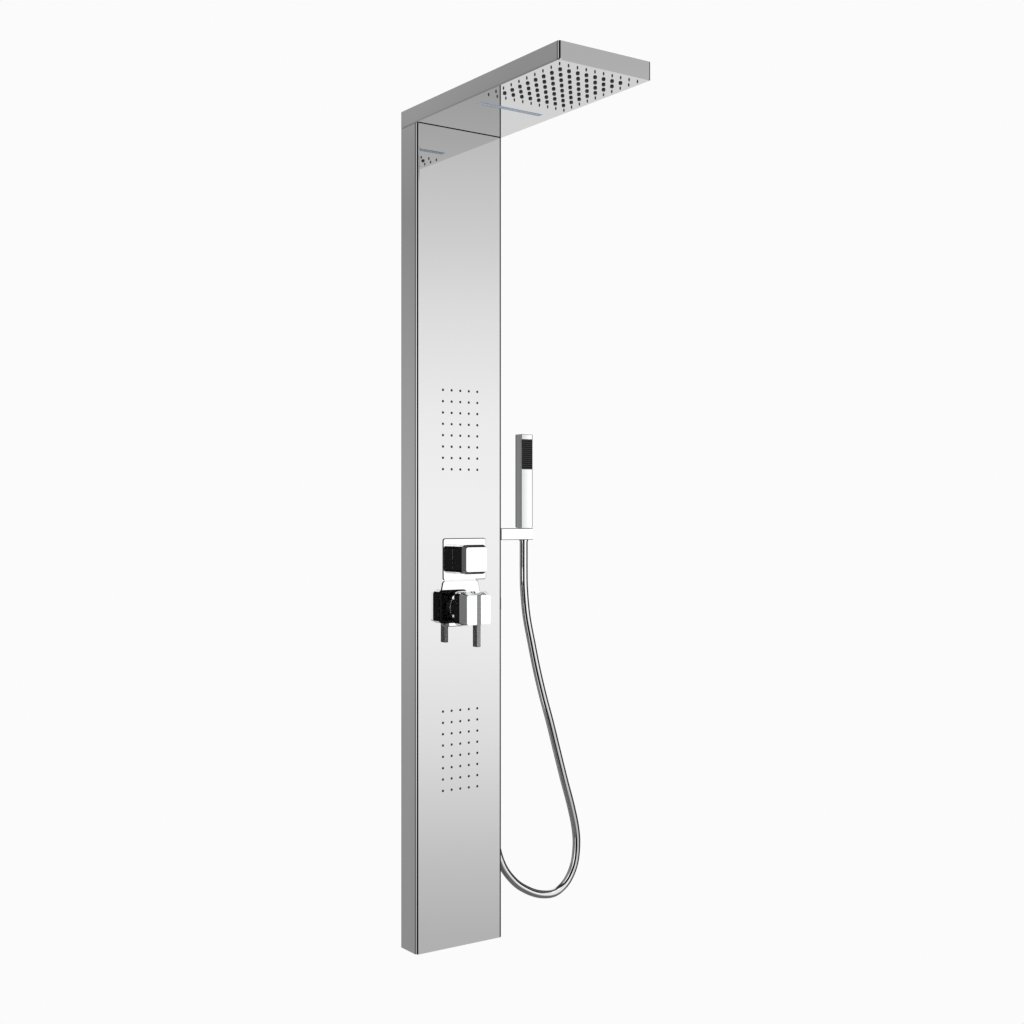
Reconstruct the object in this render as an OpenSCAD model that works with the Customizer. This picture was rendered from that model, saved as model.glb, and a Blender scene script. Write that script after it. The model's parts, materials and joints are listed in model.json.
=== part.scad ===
// Wall-hung shower panel column with a rain hood, body jets, a mixer, a diverter and a hand shower.
// Millimetres, +Z up, the front faces -Y. The origin is the middle of the wall fixing, on the wall.

/* [Column] */
// Width of the column and of the hood
column_w = 200; // [196:1:220]
// Depth of the column, from the wall to its front face
column_d = 60; // [58:0.5:66]
// Height of the column, from its lower end to the hood
column_h = 1597; // [1580:1:1640]
// Thickness of the folded sheet
sheet_t = 1.5; // [1:0.1:1.8]
// Outer radius of the sheet's folds
fold_r = 4; // [2:0.1:5]
// Width of the lips that are folded in at the back
lip_w = 18; // [12:1:18]

/* [Hood] */
// Reach of the hood in front of the column
hood_reach = 454; // [448:1:480]
// Thickness of the hood
hood_t = 33; // [32:0.5:42]
// Groove between the hood and the column
seam = 1; // [0.2:0.1:1.5]
// Height of the tray's folded rim inside the hood
tray_rim_h = 12; // [6:1:20]

/* [Rain nozzles] */
// Nozzles across the hood
rain_columns = 10; // [6:1:10]
// Nozzles along the hood
rain_rows = 10; // [6:1:10]
// Distance between nozzles across the hood
rain_pitch_x = 18.8; // [16:0.1:18.8]
// Distance between nozzles along the hood
rain_pitch_y = 23.5; // [18:0.5:24]
// Distance from the column's front to the middle of the nozzle field
rain_offset = 330; // [328:1:334]
// Diameter of the large nozzle tips
rain_tip_d = 6; // [4:0.1:6.5]
// Diameter of the small nozzle tips in the outermost ring
rain_edge_tip_d = 3; // [2.4:0.1:4]

/* [Waterfall] */
// Length of the waterfall slot across the hood
waterfall_w = 140; // [100:1:144]
// Width of the waterfall slot
waterfall_gap = 11; // [6:0.5:12]
// Distance from the column's front to the slot
waterfall_offset = 172; // [150:1:174]

/* [Body jets] */
// Jets side by side
jet_columns = 5; // [3:1:5]
// Jets one above another
jet_rows = 8; // [4:1:9]
// Distance between jets side by side
jet_pitch_x = 20; // [14:1:22]
// Distance between jets one above another
jet_pitch_z = 22; // [16:1:24]
// Diameter of the jet tips
jet_tip_d = 4.6; // [3.6:0.1:6]
// Height of the middle of the upper field above the column's lower end
upper_jets_height = 1010; // [1000:1:1100]
// Height of the middle of the lower field above the column's lower end
lower_jets_height = 385; // [300:1:400]

/* [Mixer] */
// Height of the mixer's axis above the column's lower end
mixer_height = 663.5; // [655:0.5:664]
// Width of the mixer's wall plate
mixer_plate_w = 93; // [90:1:110]
// Height of the mixer's wall plate
mixer_plate_h = 90; // [86:1:92]
// Distance from the mixer's axis up to the middle of its wall plate
mixer_plate_rise = 7.5; // [6:0.5:8]
// Thickness of both wall plates
plate_t = 2; // [1.5:0.1:3]
// Width and height of the mixer's handle block
handle_w = 66; // [60:1:68]
// Depth of the mixer's handle block
handle_d = 37; // [36:0.5:46]
// Width of the lever bar
lever_w = 8.5; // [8.5:0.5:14]
// Depth of the lever bar
lever_d = 16; // [10:0.5:16]
// Length of the lever bar
lever_l = 100; // [85:1:110]
// Distance between the hot and the cold inlet
inlet_spacing = 100; // [94:1:104]
// Outer diameter of the inlets' pipe thread
inlet_thread_d = 20.96; // [16:0.01:21]

/* [Diverter] */
// Height of the diverter's axis above the column's lower end
diverter_height = 757.5; // [756:0.5:764]
// Distance of the diverter's axis to the right of the column's middle
diverter_x = 9.5; // [0:0.5:12]
// Width of the diverter's wall plate
diverter_plate_w = 101; // [80:1:110]
// Height of the diverter's wall plate
diverter_plate_h = 82; // [70:1:82]
// Width and height of the diverter's knob
knob_w = 57; // [50:1:58]
// Depth of the diverter's knob
knob_d = 41; // [36:0.5:46]

/* [Hand shower] */
// Width of the hand shower
handset_w = 30; // [28:0.5:36]
// Depth of the hand shower
handset_d = 24; // [20:0.5:26]
// Length of the hand shower
handset_l = 190; // [150:1:230]
// Width of the spray pad
pad_w = 26; // [20:0.5:26]
// Height of the spray pad
pad_h = 61; // [40:1:80]
// Ribs on the spray pad
pad_ribs = 15; // [8:1:18]
// Distance from the hand shower's top to the spray pad
pad_drop = 10; // [8:1:24]

/* [Holder] */
// Distance from the column's side to the axis of the hand shower
holder_reach = 64; // [60:0.5:80]
// Distance from the wall to the axis of the hand shower
handset_axis_depth = 44; // [36:0.5:44]
// Height of the holder bar
holder_h = 23.5; // [20:0.5:26]
// Depth of the holder bar
holder_d = 28; // [26:0.5:30]
// Height of the holder's top above the column's lower end
holder_height = 817; // [800:1:840]
// Width of the slot that lets the hose in
holder_slot_w = 17.2; // [17:0.1:18]

/* [Hose outlet] */
// Height of the outlet's axis above the column's lower end
outlet_height = 688.5; // [688:0.5:689]
// Distance from the column's side to the outlet's mouth
outlet_reach = 14; // [13:0.5:18]
// Distance from the wall to the outlet's axis
outlet_depth = 17; // [16:0.5:20]
// Outer diameter of the shower hose
hose_d = 16.5; // [14:0.5:16.5]

/* [Wall fixing] */
// Distance between the wall screws side by side
fixing_spacing_x = 140; // [120:1:144]
// Distance from the column's upper and lower end to the wall screws
fixing_inset = 198.5; // [160:0.5:215]
// Diameter of the holes for the wall screws
fixing_hole_d = 6; // [4:0.1:8]
// Height of the wall brackets
bracket_h = 40; // [34:1:50]

/* [Hidden] */
$fn = 48;

// Clearances and the overrun of cuts
overrun = 1;
fit_gap = 0.05;
loose_gap = 0.3;
weld_gap = 0.1;
slice_t = 0.05;

// Main planes
bottom_z = -column_h / 2;
top_z = column_h / 2;
front_y = -column_d;
sheet_back_y = front_y + sheet_t;
inner_w = column_w - 2 * sheet_t;
side_x = column_w / 2;
inner_side_x = inner_w / 2;
hood_front_y = front_y - hood_reach;
tray_z = top_z + seam;
tray_top_z = tray_z + sheet_t;
function above_bottom(height) = bottom_z + height;

// Steel fasteners that hold the water chambers
stud_r = 2;
stud_hole_r = 2.2;
stud_nut_r = 4;
stud_nut_h = 3;

// Water chambers
mat_t = 2;
chamber_wall = 2.5;
chamber_flange_w = 8;
chamber_h = 18;
tip_gap = 0.2;
tip_root = mat_t + sheet_t;
jet_tip_reach = 1.2;
rain_tip_reach = 2.8;
tip_end_share = 0.65;
tip_bore_share = 0.3;
field_margin = 6;
port_r = 6.5;
port_l = 10;
port_bore_r = 4;
hose_r = 6;
hose_sides = 10;
inner_nut_r = 8;
inner_nut_l = 14;
hood_pipe_rise = 14;
hood_pipe_z = top_z + hood_pipe_rise;

// Rain field
rain_y = front_y - rain_offset;
rain_field_x = (rain_columns - 1) * rain_pitch_x;
rain_field_y = (rain_rows - 1) * rain_pitch_y;
rain_box_w = rain_field_x + 2 * field_margin;
rain_box_l = rain_field_y + 2 * field_margin;
rain_port_x = rain_box_w / 2 - port_r - chamber_wall;
rain_stud_columns = 4;
rain_stud_span_share = 0.7;
rain_stud_span = rain_field_x * rain_stud_span_share;

// Waterfall
waterfall_y = front_y - waterfall_offset;
waterfall_margin = 1.5;
waterfall_box_w = waterfall_w + 2 * chamber_wall + 2 * waterfall_margin;
waterfall_box_l = 36;
waterfall_lip_t = 1.2;

// Jet fields
upper_jets_z = above_bottom(upper_jets_height);
lower_jets_z = above_bottom(lower_jets_height);
jet_box_w = (jet_columns - 1) * jet_pitch_x + 2 * field_margin + 2 * chamber_wall;
jet_box_h = (jet_rows - 1) * jet_pitch_z + 2 * field_margin + 2 * chamber_wall;
jet_box_d = 16;
jet_port_x = -jet_box_w / 2 + inner_nut_r + chamber_wall;
jet_port_y = sheet_back_y + mat_t + jet_box_d / 2;

// Valve bodies behind the front sheet
gasket_t = 1;
valve_y = -14;
valve_floor_t = 8;
port_y = -32;
neck_proud = 0.3;
valve_front_y = sheet_back_y + gasket_t;
plate_y = front_y - plate_t;
nut_t = 2.3;
neck_front_y = plate_y - nut_t - neck_proud;
neck_gap = 0.3;

// Mixer, from the wall outwards
mixer_z = above_bottom(mixer_height);
mixer_body_r = 24;
mixer_neck_r = 20;
mixer_nut_r = 23.5;
mixer_bore_r = 17.5;
valve_floor_y = valve_y - valve_floor_t;
mixer_outlet_rise = 4;
inlet_arm_r = 11;
inlet_arm_drop = 30;
inlet_collar_r = 13;
inlet_collar_h = 6;
inlet_thread_l = 14;
carrier_r = 10;
carrier_back_y = -38;
retaining_nut_t = 2.4;
retaining_nut_bore_r = 11;
mixer_plate_corner_r = 14;
mixer_plate_top_inset = 4;
sleeve_r = 25;
sleeve_l = 15;
pivot_reach = 11;
pivot_y = plate_y - pivot_reach;
ball_r = 15.5;
ball_wall = 2;
ball_back = 1;
ear_x = 4.5;
ear_t = 4;
ear_h = 9;
ear_reach = 5;
pin_r = 2;
pin_l = 16;
stem_r = 4;
stem_gap = 0.3;
stem_back = 4;
handle_gap = 0.5;
handle_y = pivot_y - ball_r - handle_gap;
handle_front_y = handle_y - handle_d;
handle_corner_r = 10;
handle_wall = 6;
handle_hollow = 17;
boss_r = 9;
handle_side_inset = 5.6;
handle_top_inset = 6.5;
handle_bottom_inset = 2.5;
handle_bevel = 18;
lever_wall = 1.3;
lever_top_z = mixer_z + handle_w / 2 - handle_top_inset;
notch_count = 3;
notch_pitch = 11.3;
notch_h = 6;
notch_l = 12;
notch_depth = 1.8;
notch_inset = 6;
grub_r = 2.5;

// Diverter, from the wall outwards
diverter_z = above_bottom(diverter_height);
diverter_body_r = 20;
diverter_neck_r = 16;
diverter_nut_r = 20;
diverter_bore_r = 13;
spindle_r = 5;
spindle_back_y = -30;
spindle_inset = 8;
diverter_port_spread = 10;
diverter_port_l = 18;
diverter_plate_corner_r = 5;
knob_gap = 0.5;
knob_y = plate_y - knob_gap;
knob_front_y = knob_y - knob_d;
knob_corner_r = 9;
knob_inset = 4.8;
knob_bevel = 9;
knob_recess_r = 22;
knob_recess_l = 5.5;
knob_hollow = 26;
tee_x = -80;
tee_half = 18;
tee_r = 7;

// Outlet for the shower hose
outlet_z = above_bottom(outlet_height);
outlet_y = -outlet_depth;
outlet_x = side_x + outlet_reach;
outlet_r = 8.5;
outlet_tail_r = 8;
outlet_tail_l = 16;
outlet_rosette_r = 13;
outlet_rosette_t = 3;
outlet_mouth_l = 12;
outlet_spigot_r = 7;
outlet_spigot_l = 8;
locknut_r = 13;
locknut_t = 4;
inner_elbow_l = 8;
inner_elbow_x = side_x - outlet_tail_l - inner_elbow_l;
inner_elbow_rise = 12;
hose_nut_r = 10.5;
hose_nut_l = 24;

// Pipework inside the column
pipe_low_z = mixer_z + mixer_body_r + mixer_outlet_rise;
pipe_high_z = diverter_z - diverter_body_r - mixer_outlet_rise;
diverter_top_z = diverter_z + diverter_body_r + diverter_port_l;
diverter_left_x = diverter_x - diverter_body_r - diverter_port_l;
diverter_right_x = diverter_x + diverter_body_r + diverter_port_l;
upper_port_z = upper_jets_z - jet_box_h / 2 - port_l - fit_gap;
lower_port_z = lower_jets_z + jet_box_h / 2 + port_l + fit_gap;
rain_port_y = rain_y + rain_box_l / 2 + port_l;
waterfall_port_y = waterfall_y + waterfall_box_l / 2 + port_l;
feed_x = inner_elbow_x;
feed_z = outlet_z + inner_elbow_rise;
riser_y = -18;
lead = 14;
inner_bend = 10;
bend_steps = 6;

// Holder and hand shower
handset_x = side_x + holder_reach;
handset_y = -handset_axis_depth;
holder_top_z = above_bottom(holder_height);
holder_z = holder_top_z - holder_h / 2;
holder_end = 13;
holder_end_x = handset_x + holder_end;
cone_top_r = 10.5;
cone_bottom_r = 9.2;
cone_gap = 0.5;
upper_nut_l = 26.8;
cone_below = 1.5;
holder_screw_r = 2;
holder_screw_head_r = 4;
holder_screw_head_t = 2.5;
holder_screw_l = 14;
holder_screw_spread = 12;
handset_wall = 2;
handset_corner_r = 1.5;
handset_z = holder_top_z + loose_gap;
handset_top_z = handset_z + handset_l;
pad_t = 3;
pad_proud = 0.8;
pad_top_z = handset_top_z - pad_drop;
waterway_r = 6;
waterway_chamber_d = 8;

// Wall fixing
upper_fixing_z = top_z - fixing_inset;
lower_fixing_z = bottom_z + fixing_inset;
bracket_w = inner_w - 2 * lip_w - 2 * loose_gap;
bracket_corner_r = 3;
hanger_h = 50;
hanger_w = inner_w - 2 * fold_r;
hanger_front_y = -2 * sheet_t - weld_gap;
hook_x = 40;
hook_w = 12;
hook_h = 10;
hook_lip_h = 6;
hook_gap = 1;
slot_side_gap = 2;
access_hole_r = 8;

// Brackets between the column and the hood
hood_bracket_t = 3;
hood_bracket_d = 44;
hood_bracket_h = 50;
hood_bracket_inset = 5;

// Route of the shower hose, from the hand shower's nut to the outlet's nut
hose_route = [
    [164, -44, -8], [164, -44, -34], [164, -44, -66], [165, -44, -106], [171, -44, -160],
    [184, -44, -218], [197, -44, -272], [213, -44, -328], [231, -44, -384], [250, -43, -446],
    [268, -43, -506], [285, -42, -557], [299, -40, -606], [304, -38, -646], [299, -36, -688],
    [281, -33, -722], [252, -31, -740], [219, -28, -739], [186, -26, -726], [155, -23, -704],
    [128, -20, -668],
    [114, -17, -620], [112, -17, -560], [113, -17, -480], [114, -17, -400], [114, -17, -320],
    [114, -17, -240], [114, -17, -180], [114, -17, -146]
];
route_steps = 2;

// Places a shape drawn in X and Z, and extrudes it towards the front
module facing_out(at) {
    translate(at)
        rotate([90, 0, 0])
            children();
}

// A box between two corners
module box(low, high) {
    translate(low)
        cube(high - low);
}

// A cylinder along X, towards +X
module rod_x(at, r, l) {
    translate(at)
        rotate([0, 90, 0])
            cylinder(r = r, h = l);
}

module rod_z(at, r, l) {
    translate(at)
        cylinder(r = r, h = l);
}

// An outline with round corners, centred
module round_rect(w, h, r) {
    square([w - 2 * r, h], center = true);
    square([w, h - 2 * r], center = true);
    for (x = [-1, 1], y = [-1, 1])
        translate([x * (w / 2 - r), y * (h / 2 - r)])
            circle(r = r);
}

// A square block with round corners, drawn in at the sides, the top and the bottom towards its front
module bevelled_block(w, r, d, bevel, side, top, bottom) {
    linear_extrude(d - bevel)
        round_rect(w, w, r);
    hull() {
        translate([0, 0, d - bevel])
            linear_extrude(slice_t)
                round_rect(w, w, r, $fn = 32);
        translate([0, (bottom - top) / 2, d - slice_t])
            linear_extrude(slice_t)
                round_rect(w - 2 * side, w - top - bottom, r - side, $fn = 32);
    }
}

// Copies a shape to each place of a centred grid
module grid(columns, rows, pitch_x, pitch_y) {
    for (i = [0 : columns - 1], j = [0 : rows - 1])
        translate([(i - (columns - 1) / 2) * pitch_x, (j - (rows - 1) / 2) * pitch_y])
            children();
}

// Vectors along a tube
function unit(v) = v / norm(v);
function heading(path, i) = unit(path[min(i + 1, len(path) - 1)] - path[max(i - 1, 0)]);
function square_to(side, along) = unit(side - (side * along) * along);
function carried_sides(path, start) = [
    for (i = 0, side = square_to(start, heading(path, 0));
         i < len(path);
         i = i + 1, side = i < len(path) ? square_to(side, heading(path, i)) : side)
        side
];

// A solid tube swept along a path
module swept_tube(path, r, sides, start) {
    turns = carried_sides(path, start);
    rings = [
        for (i = [0 : len(path) - 1])
            for (k = [0 : sides - 1])
                path[i]
                + r * cos(360 * k / sides) * turns[i]
                + r * sin(360 * k / sides) * cross(heading(path, i), turns[i])
    ];
    last = (len(path) - 1) * sides;
    skin = [
        for (i = [0 : len(path) - 2])
            for (k = [0 : sides - 1])
                let (a = i * sides + k, b = i * sides + (k + 1) % sides)
                    each [[a, a + sides, b], [b, a + sides, b + sides]]
    ];
    caps = [
        for (k = [1 : sides - 2])
            each [[0, k, k + 1], [last, last + k + 1, last + k]]
    ];
    polyhedron(points = rings, faces = concat(skin, caps));
}

// Straight legs with rounded corners
function bend(a, b, c, r) = [
    for (i = [0 : bend_steps])
        let (t = i / bend_steps, from = b + r * unit(a - b), to = b + r * unit(c - b))
            (1 - t) * (1 - t) * from + 2 * t * (1 - t) * b + t * t * to
];
function bent_path(corners, r) = concat(
    [corners[0]],
    [for (i = [1 : len(corners) - 2]) each bend(corners[i - 1], corners[i], corners[i + 1], r)],
    [corners[len(corners) - 1]]
);

// A smooth curve through the points of a route
function through(a, b, c, d, t) =
    0.5 * (2 * b + (c - a) * t + (2 * a - 5 * b + 4 * c - d) * t * t + (3 * b - a - 3 * c + d) * t * t * t);
function smooth_path(p, steps) = concat(
    [
        for (i = [0 : len(p) - 2])
            for (k = [0 : steps - 1])
                through(p[max(i - 1, 0)], p[i], p[i + 1], p[min(i + 2, len(p) - 1)], k / steps)
    ],
    [p[len(p) - 1]]
);

// Column: a channel folded from sheet, with lips at the back
module column_profile() {
    translate([0, -column_d / 2])
        difference() {
            round_rect(column_w, column_d, fold_r);
            round_rect(inner_w, column_d - 2 * sheet_t, fold_r - sheet_t + fit_gap);
            translate([0, column_d / 2])
                square([inner_w - 2 * lip_w, column_d], center = true);
        }
}

module jet_field() {
    grid(jet_columns, jet_rows, jet_pitch_x, jet_pitch_z)
        children();
}

module column_casing() {
    color("silver")
        difference() {
            translate([0, 0, bottom_z])
                linear_extrude(column_h)
                    column_profile();
            for (z = [upper_jets_z, lower_jets_z])
                facing_out([0, sheet_back_y + overrun, z])
                    jet_field()
                        cylinder(d = jet_tip_d + 2 * tip_gap, h = sheet_t + 2 * overrun);
            facing_out([0, sheet_back_y + overrun, mixer_z])
                cylinder(r = mixer_neck_r + neck_gap, h = sheet_t + 2 * overrun);
            facing_out([diverter_x, sheet_back_y + overrun, diverter_z])
                cylinder(r = diverter_neck_r + neck_gap, h = sheet_t + 2 * overrun);
            rod_x([inner_side_x - overrun, outlet_y, outlet_z],
                  outlet_tail_r + tip_gap, sheet_t + 2 * overrun);
            for (y = [-1, 1])
                rod_x([inner_side_x - overrun, handset_y + y * holder_screw_spread / 2, holder_z],
                      holder_screw_r + tip_gap, sheet_t + 2 * overrun);
        }
}

module bottom_cap() {
    cap_w = inner_w - 2 * weld_gap;
    cap_d = column_d - 2 * sheet_t - 2 * weld_gap;
    color("silver")
        translate([0, -column_d / 2, bottom_z])
            difference() {
                linear_extrude(tray_rim_h)
                    round_rect(cap_w, cap_d, fold_r);
                translate([0, 0, sheet_t])
                    linear_extrude(tray_rim_h)
                        round_rect(cap_w - 2 * sheet_t, cap_d - 2 * sheet_t, fold_r - sheet_t);
            }
}

// Cross plates welded inside the column's lips, with slots that hang on the hooks
module hanger(z) {
    slot_w = hook_w + 2 * slot_side_gap;
    slot_h = hook_h + 2 * slot_side_gap;
    color("gainsboro")
        facing_out([0, -sheet_t - weld_gap / 2, z])
            difference() {
                linear_extrude(sheet_t)
                    square([hanger_w, hanger_h], center = true);
                for (x = [-1, 1]) {
                    translate([x * hook_x - slot_w / 2, hook_h / 2 + fit_gap - slot_h, -overrun])
                        cube([slot_w, slot_h, sheet_t + 2 * overrun]);
                    translate([x * fixing_spacing_x / 2, 0, -overrun])
                        cylinder(r = access_hole_r, h = sheet_t + 2 * overrun);
                }
            }
}

module upper_hanger() {
    hanger(upper_fixing_z);
}

module lower_hanger() {
    hanger(lower_fixing_z);
}

// Wall brackets with two hooks each
module wall_bracket(z) {
    hook_reach = 2 * sheet_t + weld_gap + hook_gap;
    color("gainsboro")
        facing_out([0, 0, z]) {
            difference() {
                linear_extrude(sheet_t)
                    round_rect(bracket_w, bracket_h, bracket_corner_r);
                for (x = [-1, 1])
                    translate([x * fixing_spacing_x / 2, 0, -overrun])
                        cylinder(d = fixing_hole_d, h = sheet_t + 2 * overrun);
            }
            for (x = [-1, 1]) {
                translate([x * hook_x - hook_w / 2, -hook_h / 2, 0])
                    cube([hook_w, hook_h, hook_reach]);
                translate([x * hook_x - hook_w / 2, -hook_h / 2, hook_reach])
                    cube([hook_w, hook_h + hook_lip_h, sheet_t]);
            }
        }
}

module upper_wall_bracket() {
    wall_bracket(upper_fixing_z);
}

module lower_wall_bracket() {
    wall_bracket(lower_fixing_z);
}

// Plates welded inside the column's sides, which the hood's sides are welded to
module hood_brackets() {
    color("gainsboro")
        for (x = [-1, 1])
            translate([x * (inner_side_x - weld_gap / 2 - hood_bracket_t / 2),
                       -hood_bracket_inset - hood_bracket_d / 2,
                       top_z])
                cube([hood_bracket_t, hood_bracket_d, hood_bracket_h], center = true);
}

// Hood: a folded shell, open below, with a tray let in from below
module hood_shell() {
    hood_l = hood_reach + column_d;
    color("silver")
        translate([0, -hood_l / 2, tray_z])
            difference() {
                linear_extrude(hood_t - seam)
                    round_rect(column_w, hood_l, fold_r);
                translate([0, 0, -overrun])
                    linear_extrude(hood_t - seam - sheet_t + overrun)
                        round_rect(inner_w, hood_l - 2 * sheet_t, fold_r - sheet_t + fit_gap);
            }
}

// Runs its children at the large nozzles, or at the small ones of the outer ring
module rain_field(edge) {
    for (i = [0 : rain_columns - 1], j = [0 : rain_rows - 1])
        if (edge == (i == 0 || j == 0 || i == rain_columns - 1 || j == rain_rows - 1))
            translate([(i - (rain_columns - 1) / 2) * rain_pitch_x,
                       rain_y + (j - (rain_rows - 1) / 2) * rain_pitch_y])
                children();
}

// Runs its children at the fasteners beside the rain field and the waterfall
module hood_studs() {
    for (i = [0 : rain_stud_columns - 1], y = [-1, 1])
        translate([(i / (rain_stud_columns - 1) - 1 / 2) * rain_stud_span,
                   rain_y + y * (rain_box_l / 2 + chamber_flange_w / 2)])
            children();
    for (x = [-1, 1], y = [-1, 1])
        translate([x * waterfall_w / 3, waterfall_y + y * (waterfall_box_l / 2 + chamber_flange_w / 2)])
            children();
}

// Outline of the tray: its front corners follow the shell's folds
module tray_outline(w, l, r) {
    translate([0, l / 2]) {
        round_rect(w, l, r);
        translate([0, r / 2])
            square([w, l - r], center = true);
    }
}

module hood_tray() {
    tray_w = inner_w - 2 * weld_gap;
    tray_l = hood_reach - 2 * weld_gap;
    color("gainsboro")
        difference() {
            translate([0, hood_front_y + sheet_t + weld_gap, tray_z])
                difference() {
                    linear_extrude(tray_rim_h)
                        tray_outline(tray_w, tray_l, fold_r);
                    translate([0, sheet_t, sheet_t])
                        linear_extrude(tray_rim_h)
                            tray_outline(tray_w - 2 * sheet_t, tray_l, fold_r - sheet_t);
                }
            translate([0, 0, tray_z - overrun]) {
                rain_field(false)
                    cylinder(d = rain_tip_d + 2 * tip_gap, h = sheet_t + 2 * overrun);
                rain_field(true)
                    cylinder(d = rain_edge_tip_d + 2 * tip_gap, h = sheet_t + 2 * overrun);
            }
            box([-waterfall_w / 2, waterfall_y - waterfall_gap / 2, tray_z - overrun],
                [waterfall_w / 2, waterfall_y + waterfall_gap / 2, tray_top_z + overrun]);
        }
}

// A soft tip from the back of its mat, a cone where it stands out of the sheet, and its bore
module tip(d, reach) {
    cylinder(d = d, h = tip_root);
    translate([0, 0, tip_root])
        cylinder(d1 = d, d2 = d * tip_end_share, h = reach);
}

module tip_bore(d, reach) {
    translate([0, 0, -overrun])
        cylinder(d = d * tip_bore_share, h = tip_root + reach + 2 * overrun);
}

module rain_nozzle_mat() {
    mat_top_z = tray_top_z + mat_t;
    color("dimgray")
        difference() {
            union() {
                translate([-rain_box_w / 2, rain_y - rain_box_l / 2 - chamber_flange_w, tray_top_z])
                    cube([rain_box_w, rain_box_l + 2 * chamber_flange_w, mat_t]);
                translate([0, 0, mat_top_z])
                    mirror([0, 0, 1]) {
                        rain_field(false)
                            tip(rain_tip_d, rain_tip_reach);
                        rain_field(true)
                            tip(rain_edge_tip_d, rain_tip_reach);
                    }
            }
            translate([0, 0, mat_top_z])
                mirror([0, 0, 1]) {
                    rain_field(false)
                        tip_bore(rain_tip_d, rain_tip_reach);
                    rain_field(true)
                        tip_bore(rain_edge_tip_d, rain_tip_reach);
                }
            translate([0, 0, tray_top_z - overrun])
                hood_studs()
                    cylinder(r = stud_hole_r, h = mat_t + 2 * overrun);
        }
}

// A lid with a flange at two sides, hollow below, and a port in its back wall
module hood_chamber(w, l, y, z, port_x) {
    difference() {
        union() {
            translate([-w / 2, y - l / 2, z])
                cube([w, l, chamber_h]);
            translate([-w / 2, y - l / 2 - chamber_flange_w, z])
                cube([w, l + 2 * chamber_flange_w, chamber_wall]);
            translate([port_x, y + l / 2 + port_l, hood_pipe_z])
                rotate([90, 0, 0])
                    cylinder(r = port_r, h = port_l + chamber_wall);
        }
        translate([-w / 2 + chamber_wall, y - l / 2 + chamber_wall, z - overrun])
            cube([w - 2 * chamber_wall, l - 2 * chamber_wall, chamber_h - chamber_wall + overrun]);
        translate([port_x, y + l / 2 + port_l + overrun, hood_pipe_z])
            rotate([90, 0, 0])
                cylinder(r = port_bore_r, h = port_l + 2 * chamber_wall + overrun);
        translate([0, 0, z - overrun])
            hood_studs()
                cylinder(r = stud_hole_r, h = chamber_wall + 2 * overrun);
    }
}

module rain_chamber() {
    color("whitesmoke")
        hood_chamber(rain_box_w, rain_box_l, rain_y, tray_top_z + mat_t, rain_port_x);
}

module waterfall_box() {
    lip_outer = [waterfall_w - 2 * tip_gap, waterfall_gap - 2 * tip_gap];
    lip_inner = [lip_outer[0] - 2 * waterfall_lip_t, lip_outer[1] - 2 * waterfall_lip_t];
    color("lightsteelblue")
        difference() {
            union() {
                hood_chamber(waterfall_box_w, waterfall_box_l, waterfall_y, tray_top_z, 0);
                box([-waterfall_box_w / 2, waterfall_y - waterfall_box_l / 2, tray_top_z],
                    [waterfall_box_w / 2, waterfall_y + waterfall_box_l / 2, tray_top_z + chamber_wall]);
                translate([0, waterfall_y, tray_z])
                    linear_extrude(sheet_t + chamber_wall)
                        square(lip_outer, center = true);
            }
            translate([0, waterfall_y, tray_z - overrun])
                linear_extrude(sheet_t + chamber_wall + 2 * overrun)
                    square(lip_inner, center = true);
        }
}

// Runs its children at the fasteners of one jet field
module jet_studs() {
    for (x = [-1, 1], z = [-1, 1])
        translate([x * (jet_box_w / 2 + chamber_flange_w / 2), z * (jet_box_h / 2 - chamber_flange_w / 2)])
            children();
}

module jet_mat(z) {
    color("black")
        facing_out([0, sheet_back_y + mat_t, z])
            difference() {
                union() {
                    linear_extrude(mat_t)
                        square([jet_box_w + 2 * chamber_flange_w, jet_box_h], center = true);
                    jet_field()
                        tip(jet_tip_d, jet_tip_reach);
                }
                jet_field()
                    tip_bore(jet_tip_d, jet_tip_reach);
                translate([0, 0, -overrun])
                    jet_studs()
                        cylinder(r = stud_hole_r, h = mat_t + 2 * overrun);
            }
}

module upper_jet_mat() {
    jet_mat(upper_jets_z);
}

module lower_jet_mat() {
    jet_mat(lower_jets_z);
}

// A chamber behind a jet field, with its port at one end
module jet_chamber(z, port_side) {
    port_z = z + port_side * (jet_box_h / 2 + port_l / 2);
    color("whitesmoke")
        difference() {
            union() {
                facing_out([0, sheet_back_y + mat_t + jet_box_d, z])
                    linear_extrude(jet_box_d)
                        square([jet_box_w, jet_box_h], center = true);
                facing_out([0, sheet_back_y + mat_t + chamber_wall, z])
                    linear_extrude(chamber_wall)
                        square([jet_box_w + 2 * chamber_flange_w, jet_box_h], center = true);
                rod_z([jet_port_x, jet_port_y, port_z - port_l / 2 - fit_gap],
                      port_r, port_l + 2 * fit_gap);
            }
            facing_out([0, sheet_back_y + mat_t + jet_box_d - chamber_wall, z])
                linear_extrude(jet_box_d)
                    square([jet_box_w - 2 * chamber_wall, jet_box_h - 2 * chamber_wall], center = true);
            rod_z([jet_port_x, jet_port_y, port_z - port_l], port_bore_r, 2 * port_l);
            facing_out([0, sheet_back_y + mat_t + chamber_wall + overrun, z])
                jet_studs()
                    cylinder(r = stud_hole_r, h = chamber_wall + 2 * overrun);
        }
}

module upper_jet_chamber() {
    jet_chamber(upper_jets_z, -1);
}

module lower_jet_chamber() {
    jet_chamber(lower_jets_z, 1);
}

// A stud welded to the sheet, with its nut
module stud(grip) {
    cylinder(r = stud_r, h = grip + stud_nut_h);
    translate([0, 0, grip])
        cylinder(r = stud_nut_r, h = stud_nut_h, $fn = 6);
}

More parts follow.
